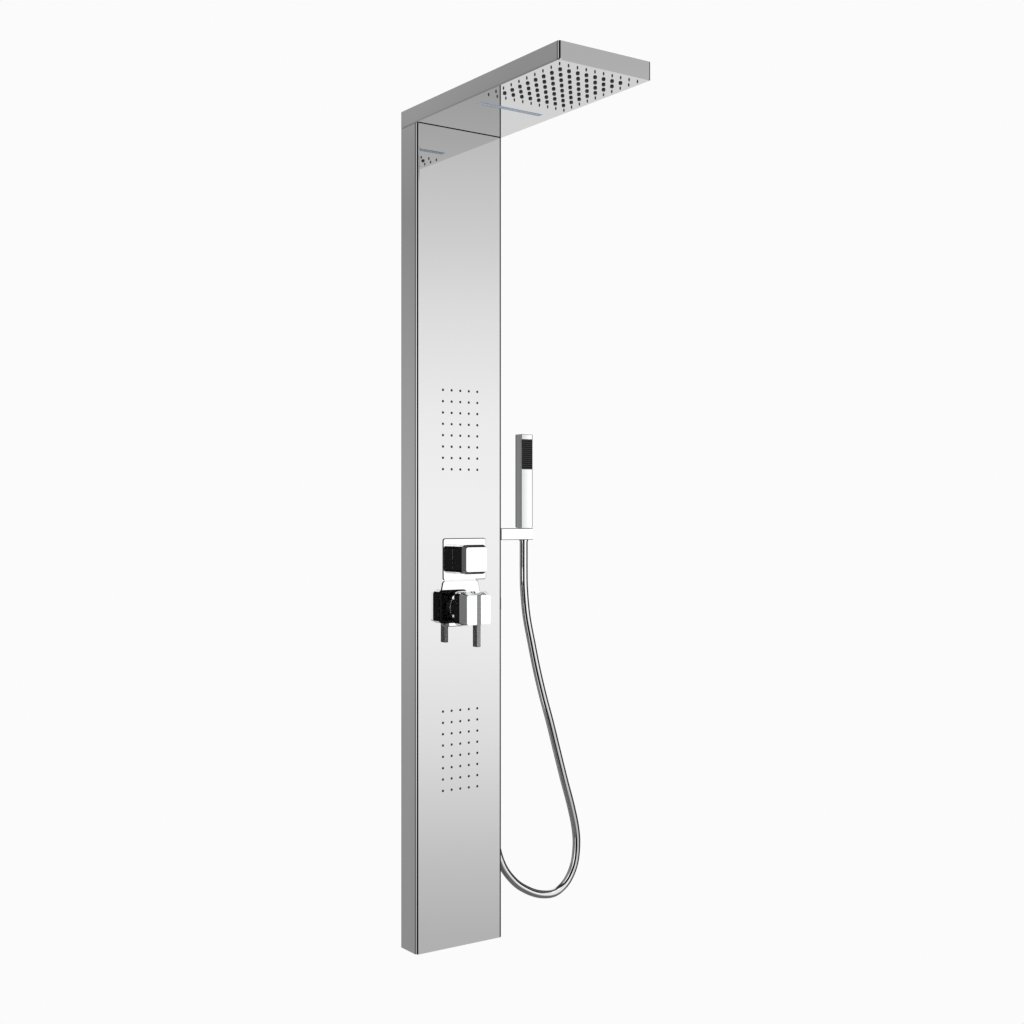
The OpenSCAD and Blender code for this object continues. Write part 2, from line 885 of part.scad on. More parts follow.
module chamber_studs() {
    color("lightgray") {
        for (i = [0 : rain_stud_columns - 1], y = [-1, 1])
            translate([(i / (rain_stud_columns - 1) - 1 / 2) * rain_stud_span,
                       rain_y + y * (rain_box_l / 2 + chamber_flange_w / 2), tray_top_z])
                stud(mat_t + chamber_wall);
        for (x = [-1, 1], y = [-1, 1])
            translate([x * waterfall_w / 3, waterfall_y + y * (waterfall_box_l / 2 + chamber_flange_w / 2),
                       tray_top_z])
                stud(chamber_wall);
        for (z = [upper_jets_z, lower_jets_z])
            translate([0, sheet_back_y, z])
                rotate([-90, 0, 0])
                    jet_studs()
                        stud(mat_t + chamber_wall);
    }
}

// Mixer: a brass body clamped to the front sheet by a nut on its neck
module mixer_body() {
    color("goldenrod")
        difference() {
            union() {
                facing_out([0, valve_y, mixer_z])
                    cylinder(r = mixer_body_r, h = valve_y - valve_front_y);
                facing_out([0, valve_y, mixer_z])
                    cylinder(r = mixer_neck_r, h = valve_y - neck_front_y);
                rod_x([-inlet_spacing / 2, port_y, mixer_z], inlet_arm_r, inlet_spacing);
                for (x = [-1, 1]) {
                    translate([x * inlet_spacing / 2, port_y, mixer_z])
                        sphere(r = inlet_arm_r);
                    rod_z([x * inlet_spacing / 2, port_y, mixer_z - inlet_arm_drop],
                          inlet_arm_r, inlet_arm_drop);
                }
                rod_z([diverter_x, port_y, mixer_z], port_r, mixer_body_r + mixer_outlet_rise);
            }
            facing_out([0, valve_floor_y, mixer_z])
                cylinder(r = mixer_bore_r, h = valve_floor_y - neck_front_y + overrun);
            for (x = [-1, 1])
                rod_z([x * inlet_spacing / 2, port_y, mixer_z - inlet_arm_drop - overrun],
                      port_bore_r, inlet_arm_drop + overrun);
        }
}

// A flat ring around a valve's neck
module ring(at, inner_r, outer_r, t) {
    facing_out(at)
        difference() {
            cylinder(r = outer_r, h = t);
            translate([0, 0, -overrun])
                cylinder(r = inner_r, h = t + 2 * overrun);
        }
}

module valve_gaskets() {
    color("black") {
        ring([0, valve_front_y, mixer_z], mixer_neck_r + fit_gap, mixer_body_r, gasket_t);
        ring([diverter_x, valve_front_y, diverter_z], diverter_neck_r + fit_gap, diverter_body_r, gasket_t);
    }
}

// Round nuts in front of the wall plates, hidden in the sleeve and in the knob
module mixer_nut() {
    color("goldenrod")
        ring([0, plate_y, mixer_z], mixer_neck_r + fit_gap, mixer_nut_r, nut_t);
}

module diverter_nut() {
    color("goldenrod")
        ring([diverter_x, plate_y, diverter_z], diverter_neck_r + fit_gap, diverter_nut_r, nut_t);
}

module mixer_cartridge() {
    color("lightgray")
        facing_out([0, valve_floor_y, mixer_z])
            difference() {
                cylinder(r = mixer_bore_r - fit_gap, h = valve_floor_y - neck_front_y);
                translate([0, 0, valve_floor_y - carrier_back_y])
                    cylinder(r = carrier_r + fit_gap, h = column_d);
            }
}

module mixer_retaining_nut() {
    color("goldenrod")
        ring([0, neck_front_y, mixer_z], retaining_nut_bore_r, mixer_neck_r - fit_gap, retaining_nut_t);
}

// Outline of the mixer's wall plate: its sides draw in a little towards the top
module mixer_plate_outline() {
    r = mixer_plate_corner_r;
    half_w = mixer_plate_w / 2;
    half_h = mixer_plate_h / 2;
    hull() {
        for (x = [-1, 1]) {
            translate([x * (half_w - r), r - half_h])
                circle(r = r, $fn = 32);
            translate([x * (half_w - r), half_h - 2 * r])
                circle(r = r, $fn = 32);
            translate([x * (half_w - mixer_plate_top_inset - r / 2), half_h - r / 2])
                circle(r = r / 2, $fn = 32);
        }
    }
}

module mixer_plate() {
    color("silver")
        facing_out([0, front_y, mixer_z])
            difference() {
                translate([0, mixer_plate_rise, 0])
                    linear_extrude(plate_t)
                        mixer_plate_outline();
                translate([0, 0, -overrun])
                    cylinder(r = mixer_neck_r + neck_gap, h = plate_t + 2 * overrun);
            }
}

module mixer_sleeve() {
    nut_room = nut_t + fit_gap;
    neck_room = nut_t + neck_proud + retaining_nut_t + loose_gap;
    color("silver")
        facing_out([0, plate_y, mixer_z])
            difference() {
                cylinder(r = sleeve_r, h = sleeve_l);
                translate([0, 0, -overrun]) {
                    cylinder(r = ball_r + loose_gap, h = sleeve_l + 2 * overrun);
                    cylinder(r = mixer_neck_r + fit_gap, h = neck_room + overrun);
                    cylinder(r = mixer_nut_r + fit_gap, h = nut_room + overrun);
                }
            }
}

module inlet_nipple(side) {
    color("goldenrod")
        translate([side * inlet_spacing / 2, port_y, mixer_z - inlet_arm_drop])
            mirror([0, 0, 1])
                difference() {
                    union() {
                        cylinder(r = inlet_collar_r, h = inlet_collar_h, $fn = 6);
                        cylinder(d = inlet_thread_d, h = inlet_collar_h + inlet_thread_l);
                    }
                    translate([0, 0, -overrun])
                        cylinder(r = port_bore_r, h = inlet_collar_h + inlet_thread_l + 2 * overrun);
                }
}

module hot_inlet_nipple() {
    inlet_nipple(-1);
}

module cold_inlet_nipple() {
    inlet_nipple(1);
}

// The turning carrier in the cartridge, with two ears for the stem's cross pin
module temperature_carrier() {
    ear_back_y = neck_front_y - retaining_nut_t;
    color("white")
        difference() {
            union() {
                facing_out([0, carrier_back_y, mixer_z])
                    cylinder(r = carrier_r, h = carrier_back_y - ear_back_y);
                for (x = [-1, 1])
                    translate([x * (ear_x + ear_t / 2), (ear_back_y + pivot_y - ear_reach) / 2, mixer_z])
                        cube([ear_t, ear_back_y - pivot_y + ear_reach + 2 * fit_gap, ear_h], center = true);
            }
            rod_x([-pin_l, pivot_y, mixer_z], pin_r + fit_gap, 2 * pin_l);
        }
}

module mixer_stem() {
    hub_w = 2 * (ear_x - stem_gap);
    color("lightgray")
        difference() {
            union() {
                rod_x([-hub_w / 2, pivot_y, mixer_z], stem_back, hub_w);
                facing_out([0, pivot_y, mixer_z])
                    cylinder(r = stem_r, h = pivot_y - handle_front_y - lever_d - lever_wall);
            }
            rod_x([-pin_l, pivot_y, mixer_z], pin_r, 2 * pin_l);
        }
}

module stem_pin() {
    color("lightgray")
        rod_x([-pin_l / 2, pivot_y, mixer_z], pin_r, pin_l);
}

// A round cap that closes the sleeve's mouth at every tilt of the stem
module ball_cap() {
    color("silver")
        facing_out([0, pivot_y, mixer_z])
            difference() {
                sphere(r = ball_r, $fn = 64);
                sphere(r = ball_r - ball_wall, $fn = 64);
                translate([0, 0, ball_back - 2 * ball_r])
                    cylinder(r = 2 * ball_r, h = 2 * ball_r);
                cylinder(r = stem_r, h = 2 * ball_r);
            }
}

// Outline of a grip notch, with its root inside the block
module notch_outline() {
    mouth = notch_h / 2 * (notch_depth + overrun) / notch_depth;
    polygon([[-overrun, -mouth], [notch_depth, 0], [-overrun, mouth]]);
}

module mixer_handle() {
    hollow_w = handle_w - 2 * handle_wall;
    color("silver")
        difference() {
            facing_out([0, handle_y, mixer_z])
                difference() {
                    bevelled_block(handle_w, handle_corner_r, handle_d, handle_bevel,
                                   handle_side_inset, handle_top_inset, handle_bottom_inset);
                    translate([0, 0, -overrun])
                        linear_extrude(handle_hollow + overrun)
                            difference() {
                                round_rect(hollow_w, hollow_w, handle_corner_r - handle_wall);
                                circle(r = boss_r);
                            }
                }
            facing_out([0, handle_y + overrun, mixer_z])
                cylinder(r = stem_r, h = handle_d - lever_d - lever_wall + overrun);
            box([-lever_w / 2 - fit_gap, handle_front_y - overrun, mixer_z - handle_w],
                [lever_w / 2 + fit_gap, handle_front_y + lever_d + fit_gap, lever_top_z + fit_gap]);
            for (i = [0 : notch_count - 1])
                facing_out([-handle_w / 2, handle_y - notch_inset,
                            mixer_z + (i - (notch_count - 1) / 2) * notch_pitch])
                    linear_extrude(notch_l)
                        notch_outline();
            rod_z([0, handle_y - handle_hollow / 2, mixer_z - handle_w], grub_r, handle_w);
        }
}

module lever_bar() {
    color("gray")
        translate([-lever_w / 2, handle_front_y, lever_top_z - lever_l])
            cube([lever_w, lever_d, lever_l]);
}

module handle_grub_screw() {
    color("dimgray")
        rod_z([0, handle_y - handle_hollow / 2, mixer_z - boss_r], grub_r - fit_gap, boss_r - stem_r);
}

// Diverter: a brass body with one inlet and four outlets
module diverter_body() {
    color("goldenrod")
        difference() {
            union() {
                facing_out([diverter_x, valve_y, diverter_z])
                    cylinder(r = diverter_body_r, h = valve_y - valve_front_y);
                facing_out([diverter_x, valve_y, diverter_z])
                    cylinder(r = diverter_neck_r, h = valve_y - neck_front_y);
                rod_x([diverter_x - diverter_body_r - diverter_port_l, port_y, diverter_z],
                      port_r, 2 * (diverter_body_r + diverter_port_l));
                for (x = [-1, 1])
                    rod_z([diverter_x + x * diverter_port_spread, port_y, diverter_z],
                          port_r, diverter_body_r + diverter_port_l);
                rod_z([diverter_x, port_y, diverter_z - diverter_body_r - mixer_outlet_rise],
                      port_r, diverter_body_r);
            }
            facing_out([diverter_x, valve_floor_y, diverter_z])
                cylinder(r = diverter_bore_r, h = valve_floor_y - neck_front_y + overrun);
        }
}

module diverter_cartridge() {
    color("lightgray")
        facing_out([diverter_x, valve_floor_y, diverter_z])
            difference() {
                cylinder(r = diverter_bore_r - fit_gap, h = valve_floor_y - neck_front_y);
                translate([0, 0, valve_floor_y - spindle_back_y - fit_gap])
                    cylinder(r = spindle_r + fit_gap, h = column_d);
            }
}

module diverter_retaining_nut() {
    color("goldenrod")
        ring([diverter_x, neck_front_y, diverter_z], spindle_r + loose_gap, diverter_neck_r - fit_gap,
             retaining_nut_t);
}

module diverter_plate() {
    color("silver")
        facing_out([diverter_x, front_y, diverter_z])
            difference() {
                linear_extrude(plate_t)
                    round_rect(diverter_plate_w, diverter_plate_h, diverter_plate_corner_r);
                translate([0, 0, -overrun])
                    cylinder(r = diverter_neck_r + neck_gap, h = plate_t + 2 * overrun);
            }
}

module diverter_spindle() {
    color("lightgray")
        facing_out([diverter_x, spindle_back_y, diverter_z])
            cylinder(r = spindle_r, h = spindle_back_y - knob_front_y - spindle_inset);
}

module diverter_knob() {
    color("silver")
        difference() {
            facing_out([diverter_x, knob_y, diverter_z])
                bevelled_block(knob_w, knob_corner_r, knob_d, knob_bevel, knob_inset, knob_inset, knob_inset);
            facing_out([diverter_x, knob_y + overrun, diverter_z]) {
                cylinder(r = knob_recess_r, h = knob_recess_l + overrun);
                difference() {
                    cylinder(r = knob_recess_r, h = knob_hollow + overrun);
                    cylinder(r = boss_r, h = 2 * knob_hollow);
                }
            }
            facing_out([diverter_x, knob_y + overrun, diverter_z])
                cylinder(r = spindle_r, h = knob_d - spindle_inset + overrun);
            rod_z([diverter_x, knob_y - knob_hollow / 2, diverter_z - knob_w], grub_r, knob_w);
        }
}

module knob_grub_screw() {
    color("dimgray")
        rod_z([diverter_x, knob_y - knob_hollow / 2, diverter_z - boss_r],
              grub_r - fit_gap, boss_r - spindle_r);
}

// Ends of the nuts: where each sits on its port, and which way it points
inner_nuts = [
    [[diverter_x, port_y, pipe_low_z], [0, 0, 1]],
    [[diverter_x, port_y, pipe_high_z], [0, 0, -1]],
    [[diverter_x - diverter_port_spread, port_y, diverter_top_z], [0, 0, 1]],
    [[diverter_x + diverter_port_spread, port_y, diverter_top_z], [0, 0, 1]],
    [[diverter_left_x, port_y, diverter_z], [-1, 0, 0]],
    [[diverter_right_x, port_y, diverter_z], [1, 0, 0]],
    [[tee_x, port_y, diverter_z + tee_half], [0, 0, 1]],
    [[tee_x, port_y, diverter_z - tee_half], [0, 0, -1]],
    [[jet_port_x, jet_port_y, upper_port_z], [0, 0, -1]],
    [[jet_port_x, jet_port_y, lower_port_z], [0, 0, 1]],
    [[rain_port_x, rain_port_y, hood_pipe_z], [0, 1, 0]],
    [[0, waterfall_port_y, hood_pipe_z], [0, 1, 0]],
    [[feed_x, outlet_y, feed_z], [0, 0, 1]]
];

// Turns +Z to one of the axes
function turn_to(way) =
    way[2] > 0 ? [0, 0, 0] : way[2] < 0 ? [180, 0, 0] : [-90 * way[1], 90 * way[0], 0];
module along(at, way) {
    translate(at)
        rotate(turn_to(way))
            children();
}

module inner_hose_nuts() {
    color("silver")
        for (place = inner_nuts)
            along(place[0], place[1])
                cylinder(r = inner_nut_r, h = inner_nut_l);
}

function nut_end(place) = place[0] + inner_nut_l * place[1];
function nut_lead(place) = place[0] + (inner_nut_l + lead) * place[1];

module inner_hose(from, corners, to) {
    ends = concat([nut_end(from), nut_lead(from)], corners, [nut_lead(to), nut_end(to)]);
    color("darkgray")
        swept_tube(bent_path(ends, inner_bend), hose_r, hose_sides, [1, 0, 0]);
}

module mixer_outlet_pipe() {
    color("peru")
        rod_z([diverter_x, port_y, pipe_low_z + inner_nut_l],
              hose_r, pipe_high_z - pipe_low_z - 2 * inner_nut_l);
}

module jet_tee() {
    branch_x = diverter_left_x - inner_nut_l;
    color("goldenrod") {
        rod_z([tee_x, port_y, diverter_z - tee_half], tee_r, 2 * tee_half);
        rod_x([tee_x, port_y, diverter_z], port_r, branch_x - tee_x);
    }
}

module rain_hose() {
    rise = diverter_top_z + 4 * lead;
    inner_hose(inner_nuts[3],
               [[rain_port_x, riser_y, rise], [rain_port_x, riser_y, hood_pipe_z - lead],
                [rain_port_x, riser_y - lead, hood_pipe_z]],
               inner_nuts[10]);
}

module waterfall_hose() {
    rise = diverter_top_z + 4 * lead;
    inner_hose(inner_nuts[2],
               [[0, riser_y, rise], [0, riser_y, hood_pipe_z - lead], [0, riser_y - lead, hood_pipe_z]],
               inner_nuts[11]);
}

module upper_jet_hose() {
    inner_hose(inner_nuts[6], [[tee_x, port_y, diverter_z + tee_half + 3 * lead]], inner_nuts[8]);
}

module lower_jet_hose() {
    inner_hose(inner_nuts[7], [[tee_x, port_y, lower_port_z + 4 * lead]], inner_nuts[9]);
}

module handset_feed_hose() {
    start = nut_end(inner_nuts[5]);
    finish = nut_end(inner_nuts[12]);
    corners = [start, [finish[0], port_y, start[2]], nut_lead(inner_nuts[12]), finish];
    color("darkgray")
        swept_tube(bent_path(corners, lead / 2), hose_r, hose_sides, [0, 1, 0]);
}

// Outlet on the column's side, with the union inside
module outlet_elbow() {
    color("silver")
        difference() {
            union() {
                rod_x([side_x - outlet_tail_l, outlet_y, outlet_z],
                      outlet_tail_r, outlet_tail_l + outlet_reach);
                rod_x([side_x, outlet_y, outlet_z], outlet_rosette_r, outlet_rosette_t);
                translate([outlet_x, outlet_y, outlet_z])
                    sphere(r = outlet_r);
                rod_x([side_x, outlet_y, outlet_z], outlet_r, outlet_reach);
                rod_z([outlet_x, outlet_y, outlet_z - outlet_mouth_l], outlet_r, outlet_mouth_l);
                rod_z([outlet_x, outlet_y, outlet_z - outlet_mouth_l - outlet_spigot_l],
                      outlet_spigot_r, outlet_spigot_l);
            }
            rod_x([side_x - outlet_tail_l - overrun, outlet_y, outlet_z], port_bore_r,
                  outlet_tail_l + outlet_reach + overrun);
            rod_z([outlet_x, outlet_y, outlet_z - outlet_mouth_l - outlet_spigot_l - overrun], port_bore_r,
                  outlet_mouth_l + outlet_spigot_l + overrun);
        }
}

module outlet_locknut() {
    color("goldenrod")
        difference() {
            rod_x([inner_side_x - locknut_t, outlet_y, outlet_z], locknut_r, locknut_t);
            rod_x([inner_side_x - locknut_t - overrun, outlet_y, outlet_z], outlet_tail_r + fit_gap,
                  locknut_t + 2 * overrun);
        }
}

module outlet_inner_elbow() {
    inner_x = side_x - outlet_tail_l;
    color("goldenrod")
        difference() {
            union() {
                rod_x([inner_elbow_x, outlet_y, outlet_z], outlet_tail_r, inner_x - inner_elbow_x);
                translate([inner_elbow_x, outlet_y, outlet_z])
                    sphere(r = outlet_tail_r);
                rod_z([inner_elbow_x, outlet_y, outlet_z], port_r, inner_elbow_rise);
            }
            rod_x([inner_elbow_x, outlet_y, outlet_z], port_bore_r, outlet_tail_l);
            rod_z([inner_elbow_x, outlet_y, outlet_z], port_bore_r, inner_elbow_rise + overrun);
        }
}

// Holder bar with a conical seat and a slot for the hose
module holder_bar() {
    bottom = holder_top_z - holder_h;
    color("silver")
        difference() {
            box([side_x, handset_y - holder_d / 2, bottom],
                [holder_end_x, handset_y + holder_d / 2, holder_top_z]);
            translate([handset_x, handset_y, bottom - cone_below])
                cylinder(r1 = cone_bottom_r + cone_gap, r2 = cone_top_r + cone_gap,
                         h = holder_h + cone_below);
            rod_z([handset_x, handset_y, holder_top_z - fit_gap], cone_top_r + cone_gap, overrun);
            rod_z([handset_x, handset_y, bottom - overrun], cone_bottom_r + cone_gap, 2 * overrun);
            box([handset_x, handset_y - holder_slot_w / 2, bottom - overrun],
                [holder_end_x + overrun, handset_y + holder_slot_w / 2, holder_top_z + overrun]);
            for (y = [-1, 1])
                rod_x([side_x - overrun, handset_y + y * holder_screw_spread / 2, holder_z],
                      holder_screw_r, holder_screw_l - sheet_t + overrun);
        }
}

module holder_screws() {
    color("lightgray")
        for (y = [-1, 1]) {
            rod_x([inner_side_x, handset_y + y * holder_screw_spread / 2, holder_z],
                  holder_screw_r - fit_gap, holder_screw_l - fit_gap);
            rod_x([inner_side_x - holder_screw_head_t, handset_y + y * holder_screw_spread / 2, holder_z],
                  holder_screw_head_r, holder_screw_head_t);
        }
}

// Hand shower: a square tube with a ribbed spray pad
module handset_body() {
    color("silver")
        translate([handset_x, handset_y, handset_z])
            difference() {
                linear_extrude(handset_l)
                    round_rect(handset_w, handset_d, handset_corner_r);
                translate([0, 0, handset_wall])
                    linear_extrude(handset_l - 2 * handset_wall)
                        square([handset_w - 2 * handset_wall, handset_d - 2 * handset_wall], center = true);
                translate([0, 0, -overrun])
                    cylinder(r = waterway_r + fit_gap, h = handset_wall + 2 * overrun);
                box([-pad_w / 2 - fit_gap, -handset_d, handset_l - pad_drop - pad_h - fit_gap],
                    [pad_w / 2 + fit_gap, handset_wall + overrun - handset_d / 2,
                     handset_l - pad_drop + fit_gap]);
            }
}

module spray_pad() {
    rib_pitch = pad_h / pad_ribs;
    pad_back_y = handset_y - handset_d / 2 + handset_wall;
    color("black") {
        box([handset_x - pad_w / 2, pad_back_y - handset_wall, pad_top_z - pad_h],
            [handset_x + pad_w / 2, pad_back_y + pad_t - handset_wall, pad_top_z]);
        for (i = [0 : pad_ribs - 1])
            translate([handset_x - pad_w / 2, pad_back_y - handset_wall - pad_proud,
                       pad_top_z - (i + 3 / 4) * rib_pitch])
                cube([pad_w, pad_proud + fit_gap, rib_pitch / 2]);
    }
}

module handset_waterway() {
    front = handset_y - handset_d / 2 + pad_t;
    back = front + waterway_chamber_d + handset_wall;
    half_w = pad_w / 2 - handset_wall;
    wall = handset_wall;
    color("whitesmoke")
        difference() {
            union() {
                rod_z([handset_x, handset_y, handset_z], waterway_r, handset_l - pad_drop - pad_h);
                box([handset_x - half_w, front, pad_top_z - pad_h], [handset_x + half_w, back, pad_top_z]);
            }
            rod_z([handset_x, handset_y, handset_z - overrun], port_bore_r, handset_l - pad_drop);
            box([handset_x - half_w + wall, front - overrun, pad_top_z - pad_h + wall],
                [handset_x + half_w - wall, back - wall, pad_top_z - wall]);
        }
}

// Shower hose and the nuts at its ends
module hose_upper_nut() {
    color("silver")
        translate([handset_x, handset_y, handset_z - upper_nut_l])
            cylinder(r1 = cone_bottom_r, r2 = cone_top_r, h = upper_nut_l);
}

module shower_hose() {
    color("silver")
        swept_tube(smooth_path(hose_route, route_steps), hose_d / 2, hose_sides, [1, 0, 0]);
}

module hose_lower_nut() {
    nut_z = outlet_z - outlet_mouth_l - hose_nut_l;
    color("silver")
        difference() {
            rod_z([outlet_x, outlet_y, nut_z], hose_nut_r, hose_nut_l);
            rod_z([outlet_x, outlet_y, nut_z + hose_nut_l - outlet_spigot_l - fit_gap],
                  outlet_spigot_r + fit_gap, outlet_spigot_l + overrun);
        }
}

column_casing();
bottom_cap();
upper_hanger();
lower_hanger();
upper_wall_bracket();
lower_wall_bracket();
hood_brackets();
hood_shell();
hood_tray();
rain_nozzle_mat();
rain_chamber();
waterfall_box();
upper_jet_mat();
upper_jet_chamber();
lower_jet_mat();
lower_jet_chamber();
chamber_studs();
mixer_body();
valve_gaskets();
mixer_nut();
mixer_cartridge();
mixer_retaining_nut();
mixer_plate();
mixer_sleeve();
hot_inlet_nipple();
cold_inlet_nipple();
temperature_carrier();
mixer_stem();
stem_pin();
ball_cap();
mixer_handle();
lever_bar();
handle_grub_screw();
diverter_body();
diverter_nut();
diverter_cartridge();
diverter_retaining_nut();
diverter_plate();
diverter_spindle();
diverter_knob();
knob_grub_screw();
mixer_outlet_pipe();
jet_tee();
rain_hose();
waterfall_hose();
upper_jet_hose();
lower_jet_hose();
handset_feed_hose();
inner_hose_nuts();
outlet_elbow();
outlet_locknut();
outlet_inner_elbow();
holder_bar();
holder_screws();
handset_body();
handset_waterway();
spray_pad();
shower_hose();
hose_upper_nut();
hose_lower_nut();
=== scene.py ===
# Wall-hung shower panel column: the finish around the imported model
import json
import math

import bpy
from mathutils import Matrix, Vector


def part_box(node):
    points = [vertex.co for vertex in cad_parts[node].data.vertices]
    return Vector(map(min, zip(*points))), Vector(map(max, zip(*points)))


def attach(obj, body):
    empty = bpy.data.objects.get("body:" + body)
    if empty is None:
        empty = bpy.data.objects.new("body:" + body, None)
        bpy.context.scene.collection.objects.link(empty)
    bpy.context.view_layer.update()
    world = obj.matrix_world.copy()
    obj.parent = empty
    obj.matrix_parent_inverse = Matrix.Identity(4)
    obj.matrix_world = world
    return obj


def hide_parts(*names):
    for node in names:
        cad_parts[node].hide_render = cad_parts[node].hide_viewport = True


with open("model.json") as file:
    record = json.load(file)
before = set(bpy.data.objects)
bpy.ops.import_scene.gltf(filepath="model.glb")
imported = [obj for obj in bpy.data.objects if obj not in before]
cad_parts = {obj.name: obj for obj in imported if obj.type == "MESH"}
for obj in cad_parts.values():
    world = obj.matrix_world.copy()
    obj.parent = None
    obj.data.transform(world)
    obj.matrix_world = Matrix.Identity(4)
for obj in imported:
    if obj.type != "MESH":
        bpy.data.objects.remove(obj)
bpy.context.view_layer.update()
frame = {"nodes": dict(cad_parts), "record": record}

nodes = frame["nodes"]
bodyOf = {name: body for body, names in frame["record"]["behaviour"]["bodies"].items() for name in names}
slotOf = {part["node"]: part["material_slot"] for part in frame["record"]["subparts"]}
print("frame loaded:", len(nodes), "nodes")

# Camera, at the photograph's place

viewSettings = {
    "place": (-1.48941, -2.36160, 0.05117),
    "tilt": 90,  # level
    "turn": -35.026,
    "lens": 49.17,
    "sensor": 36,
    "farthest": 60,
}


def addCamera(settings):
    bpy.ops.object.camera_add(location=settings["place"],
                              rotation=(math.radians(settings["tilt"]), 0, math.radians(settings["turn"])))
    camera = bpy.context.object
    camera.name = "photoCamera"
    camera.data.sensor_width = settings["sensor"]
    camera.data.lens = settings["lens"]
    camera.data.clip_end = settings["farthest"]
    bpy.context.scene.camera = camera


addCamera(viewSettings)

# Shader helpers


class Value:  # wraps an output socket, so that shader maths reads as plain expressions
    def __init__(self, tree, socket):
        self.tree = tree
        self.socket = socket

    def math(self, kind, *others):
        node = self.tree.nodes.new("ShaderNodeMath")
        node.operation = kind
        for place, value in enumerate((self, *others)):
            connect(self.tree, value, node.inputs[place])
        return Value(self.tree, node.outputs[0])

    def flipped(self, kind, other):
        node = self.tree.nodes.new("ShaderNodeMath")
        node.operation = kind
        node.inputs[0].default_value = other
        connect(self.tree, self, node.inputs[1])
        return Value(self.tree, node.outputs[0])

    def out(self, name):  # another output of the same node
        return Value(self.tree, self.socket.node.outputs[name])

    def __add__(self, other):
        return self.math("ADD", other)

    def __sub__(self, other):
        return self.math("SUBTRACT", other)

    def __rsub__(self, other):
        return self.flipped("SUBTRACT", other)

    def __mul__(self, other):
        return self.math("MULTIPLY", other)

    def __truediv__(self, other):
        return self.math("DIVIDE", other)

    __radd__ = __add__
    __rmul__ = __mul__


def connect(tree, value, socket):
    if isinstance(value, Value):
        tree.links.new(value.socket, socket)
    elif hasattr(socket.default_value, "__len__"):
        size = len(socket.default_value)
        socket.default_value = (*value, 1)[:size] if hasattr(value, "__len__") else (value,) * size
    else:
        socket.default_value = value


class Shader:  # a material or world and its node tree
    def __init__(self, owner):
        owner.use_nodes = True
        self.owner = owner
        self.tree = owner.node_tree
        self.tree.nodes.clear()

    def node(self, kind, settings=None, values=None, out=0):
        node = self.tree.nodes.new("ShaderNode" + kind)
        for name, value in (settings or {}).items():
            if name == "stops":
                ramp = node.color_ramp
                while len(ramp.elements) < len(value):
                    ramp.elements.new(1)
                for element, (place, colour) in zip(ramp.elements, value):
                    element.position = place
                    element.color = (*colour, 1) if hasattr(colour, "__len__") else (colour,) * 3 + (1,)
            else:
                setattr(node, name, value)
        for name, value in (values or {}).items():
            connect(self.tree, value, node.inputs[name])
        return Value(self.tree, node.outputs[out] if node.outputs else None)

    def place(self, kind="Object"):
        return self.node("TexCoord", out=kind)

    def stretched(self, scale, turn=(0, 0, 0)):
        return self.node("Mapping", {}, {"Vector": self.place(), "Scale": scale, "Rotation": turn})

    def noise(self, vector, scale, detail=3, rough=0.5):
        return self.node("TexNoise", {}, {"Vector": vector, "Scale": scale, "Detail": detail,
                                          "Roughness": rough})

    def bands(self, vector, scale):
        return self.node("TexWave", {"wave_type": "BANDS", "bands_direction": "Z"},
                         {"Vector": vector, "Scale": scale, "Distortion": 0})

    def ramp(self, value, *stops):
        return self.node("ValToRGB", {"stops": stops}, {"Fac": value})

    def spread(self, value, low, high, start=0, end=1):
        return self.node("MapRange", {}, {0: value, 1: start, 2: end, 3: low, 4: high})

    def mix(self, factor, first, second):
        return self.node("Mix", {"data_type": "RGBA"}, {0: factor, 6: first, 7: second}, out=2)

    def bump(self, height, strength, distance):
        return self.node("Bump", {}, {"Height": height, "Strength": strength, "Distance": distance})

    def surface(self, values):
        shader = self.node("BsdfPrincipled", {}, values)
        self.node("OutputMaterial", {}, {"Surface": shader})
        return self.owner


def newShader(name):
    return Shader(bpy.data.materials.new(name))


# Shower hose, on the route of the model's own hose

hoseSettings = {
    "route": [  # in millimetres, as in the model
        (164, -44, -8), (164, -44, -34), (164, -44, -66), (165, -44, -106), (171, -44, -160),
        (184, -44, -218), (197, -44, -272), (213, -44, -328), (231, -44, -384), (250, -43, -446),
        (268, -43, -506), (285, -42, -557), (299, -40, -606), (304, -38, -646), (299, -36, -688),
        (281, -33, -722), (252, -31, -740), (219, -28, -739), (186, -26, -726), (155, -23, -704),
        (128, -20, -668), (114, -17, -620), (112, -17, -560), (113, -17, -480), (114, -17, -400),
        (114, -17, -320), (114, -17, -240), (114, -17, -180), (114, -17, -146),
    ],
    "perMetre": 1000,
    "diameter": 0.0165,
    "length": 1.45,
    "roundness": 8,
    "smoothness": 10,
    "handleShare": 6,  # a handle is this share of the way between a point's two neighbours
}


def addShowerHose(settings):
    points = [Vector(point) / settings["perMetre"] for point in settings["route"]]
    curve = bpy.data.curves.new("showerHose", "CURVE")
    curve.dimensions = "3D"
    curve.bevel_depth = 1  # times each point's radius, so that the curve's bounds are those of the hose
    curve.bevel_resolution = settings["roundness"]
    curve.resolution_u = settings["smoothness"]
    curve.use_fill_caps = True
    line = curve.splines.new("BEZIER")
    line.bezier_points.add(len(points) - 1)
    for i, point in enumerate(points):
        pull = (points[min(i + 1, len(points) - 1)] - points[max(i - 1, 0)]) / settings["handleShare"]
        spot = line.bezier_points[i]
        spot.co, spot.handle_left, spot.handle_right = point, point - pull, point + pull
        spot.radius = settings["diameter"] / 2
    hose = bpy.data.objects.new("showerHose", curve)
    bpy.context.scene.collection.objects.link(hose)
    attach(hose, "panel")
    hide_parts("shower_hose")
    return hose


showerHose = addShowerHose(hoseSettings)
print("camera and hose made")

# Studio: what mirror finishes see around the panel, and a pale backdrop for the camera

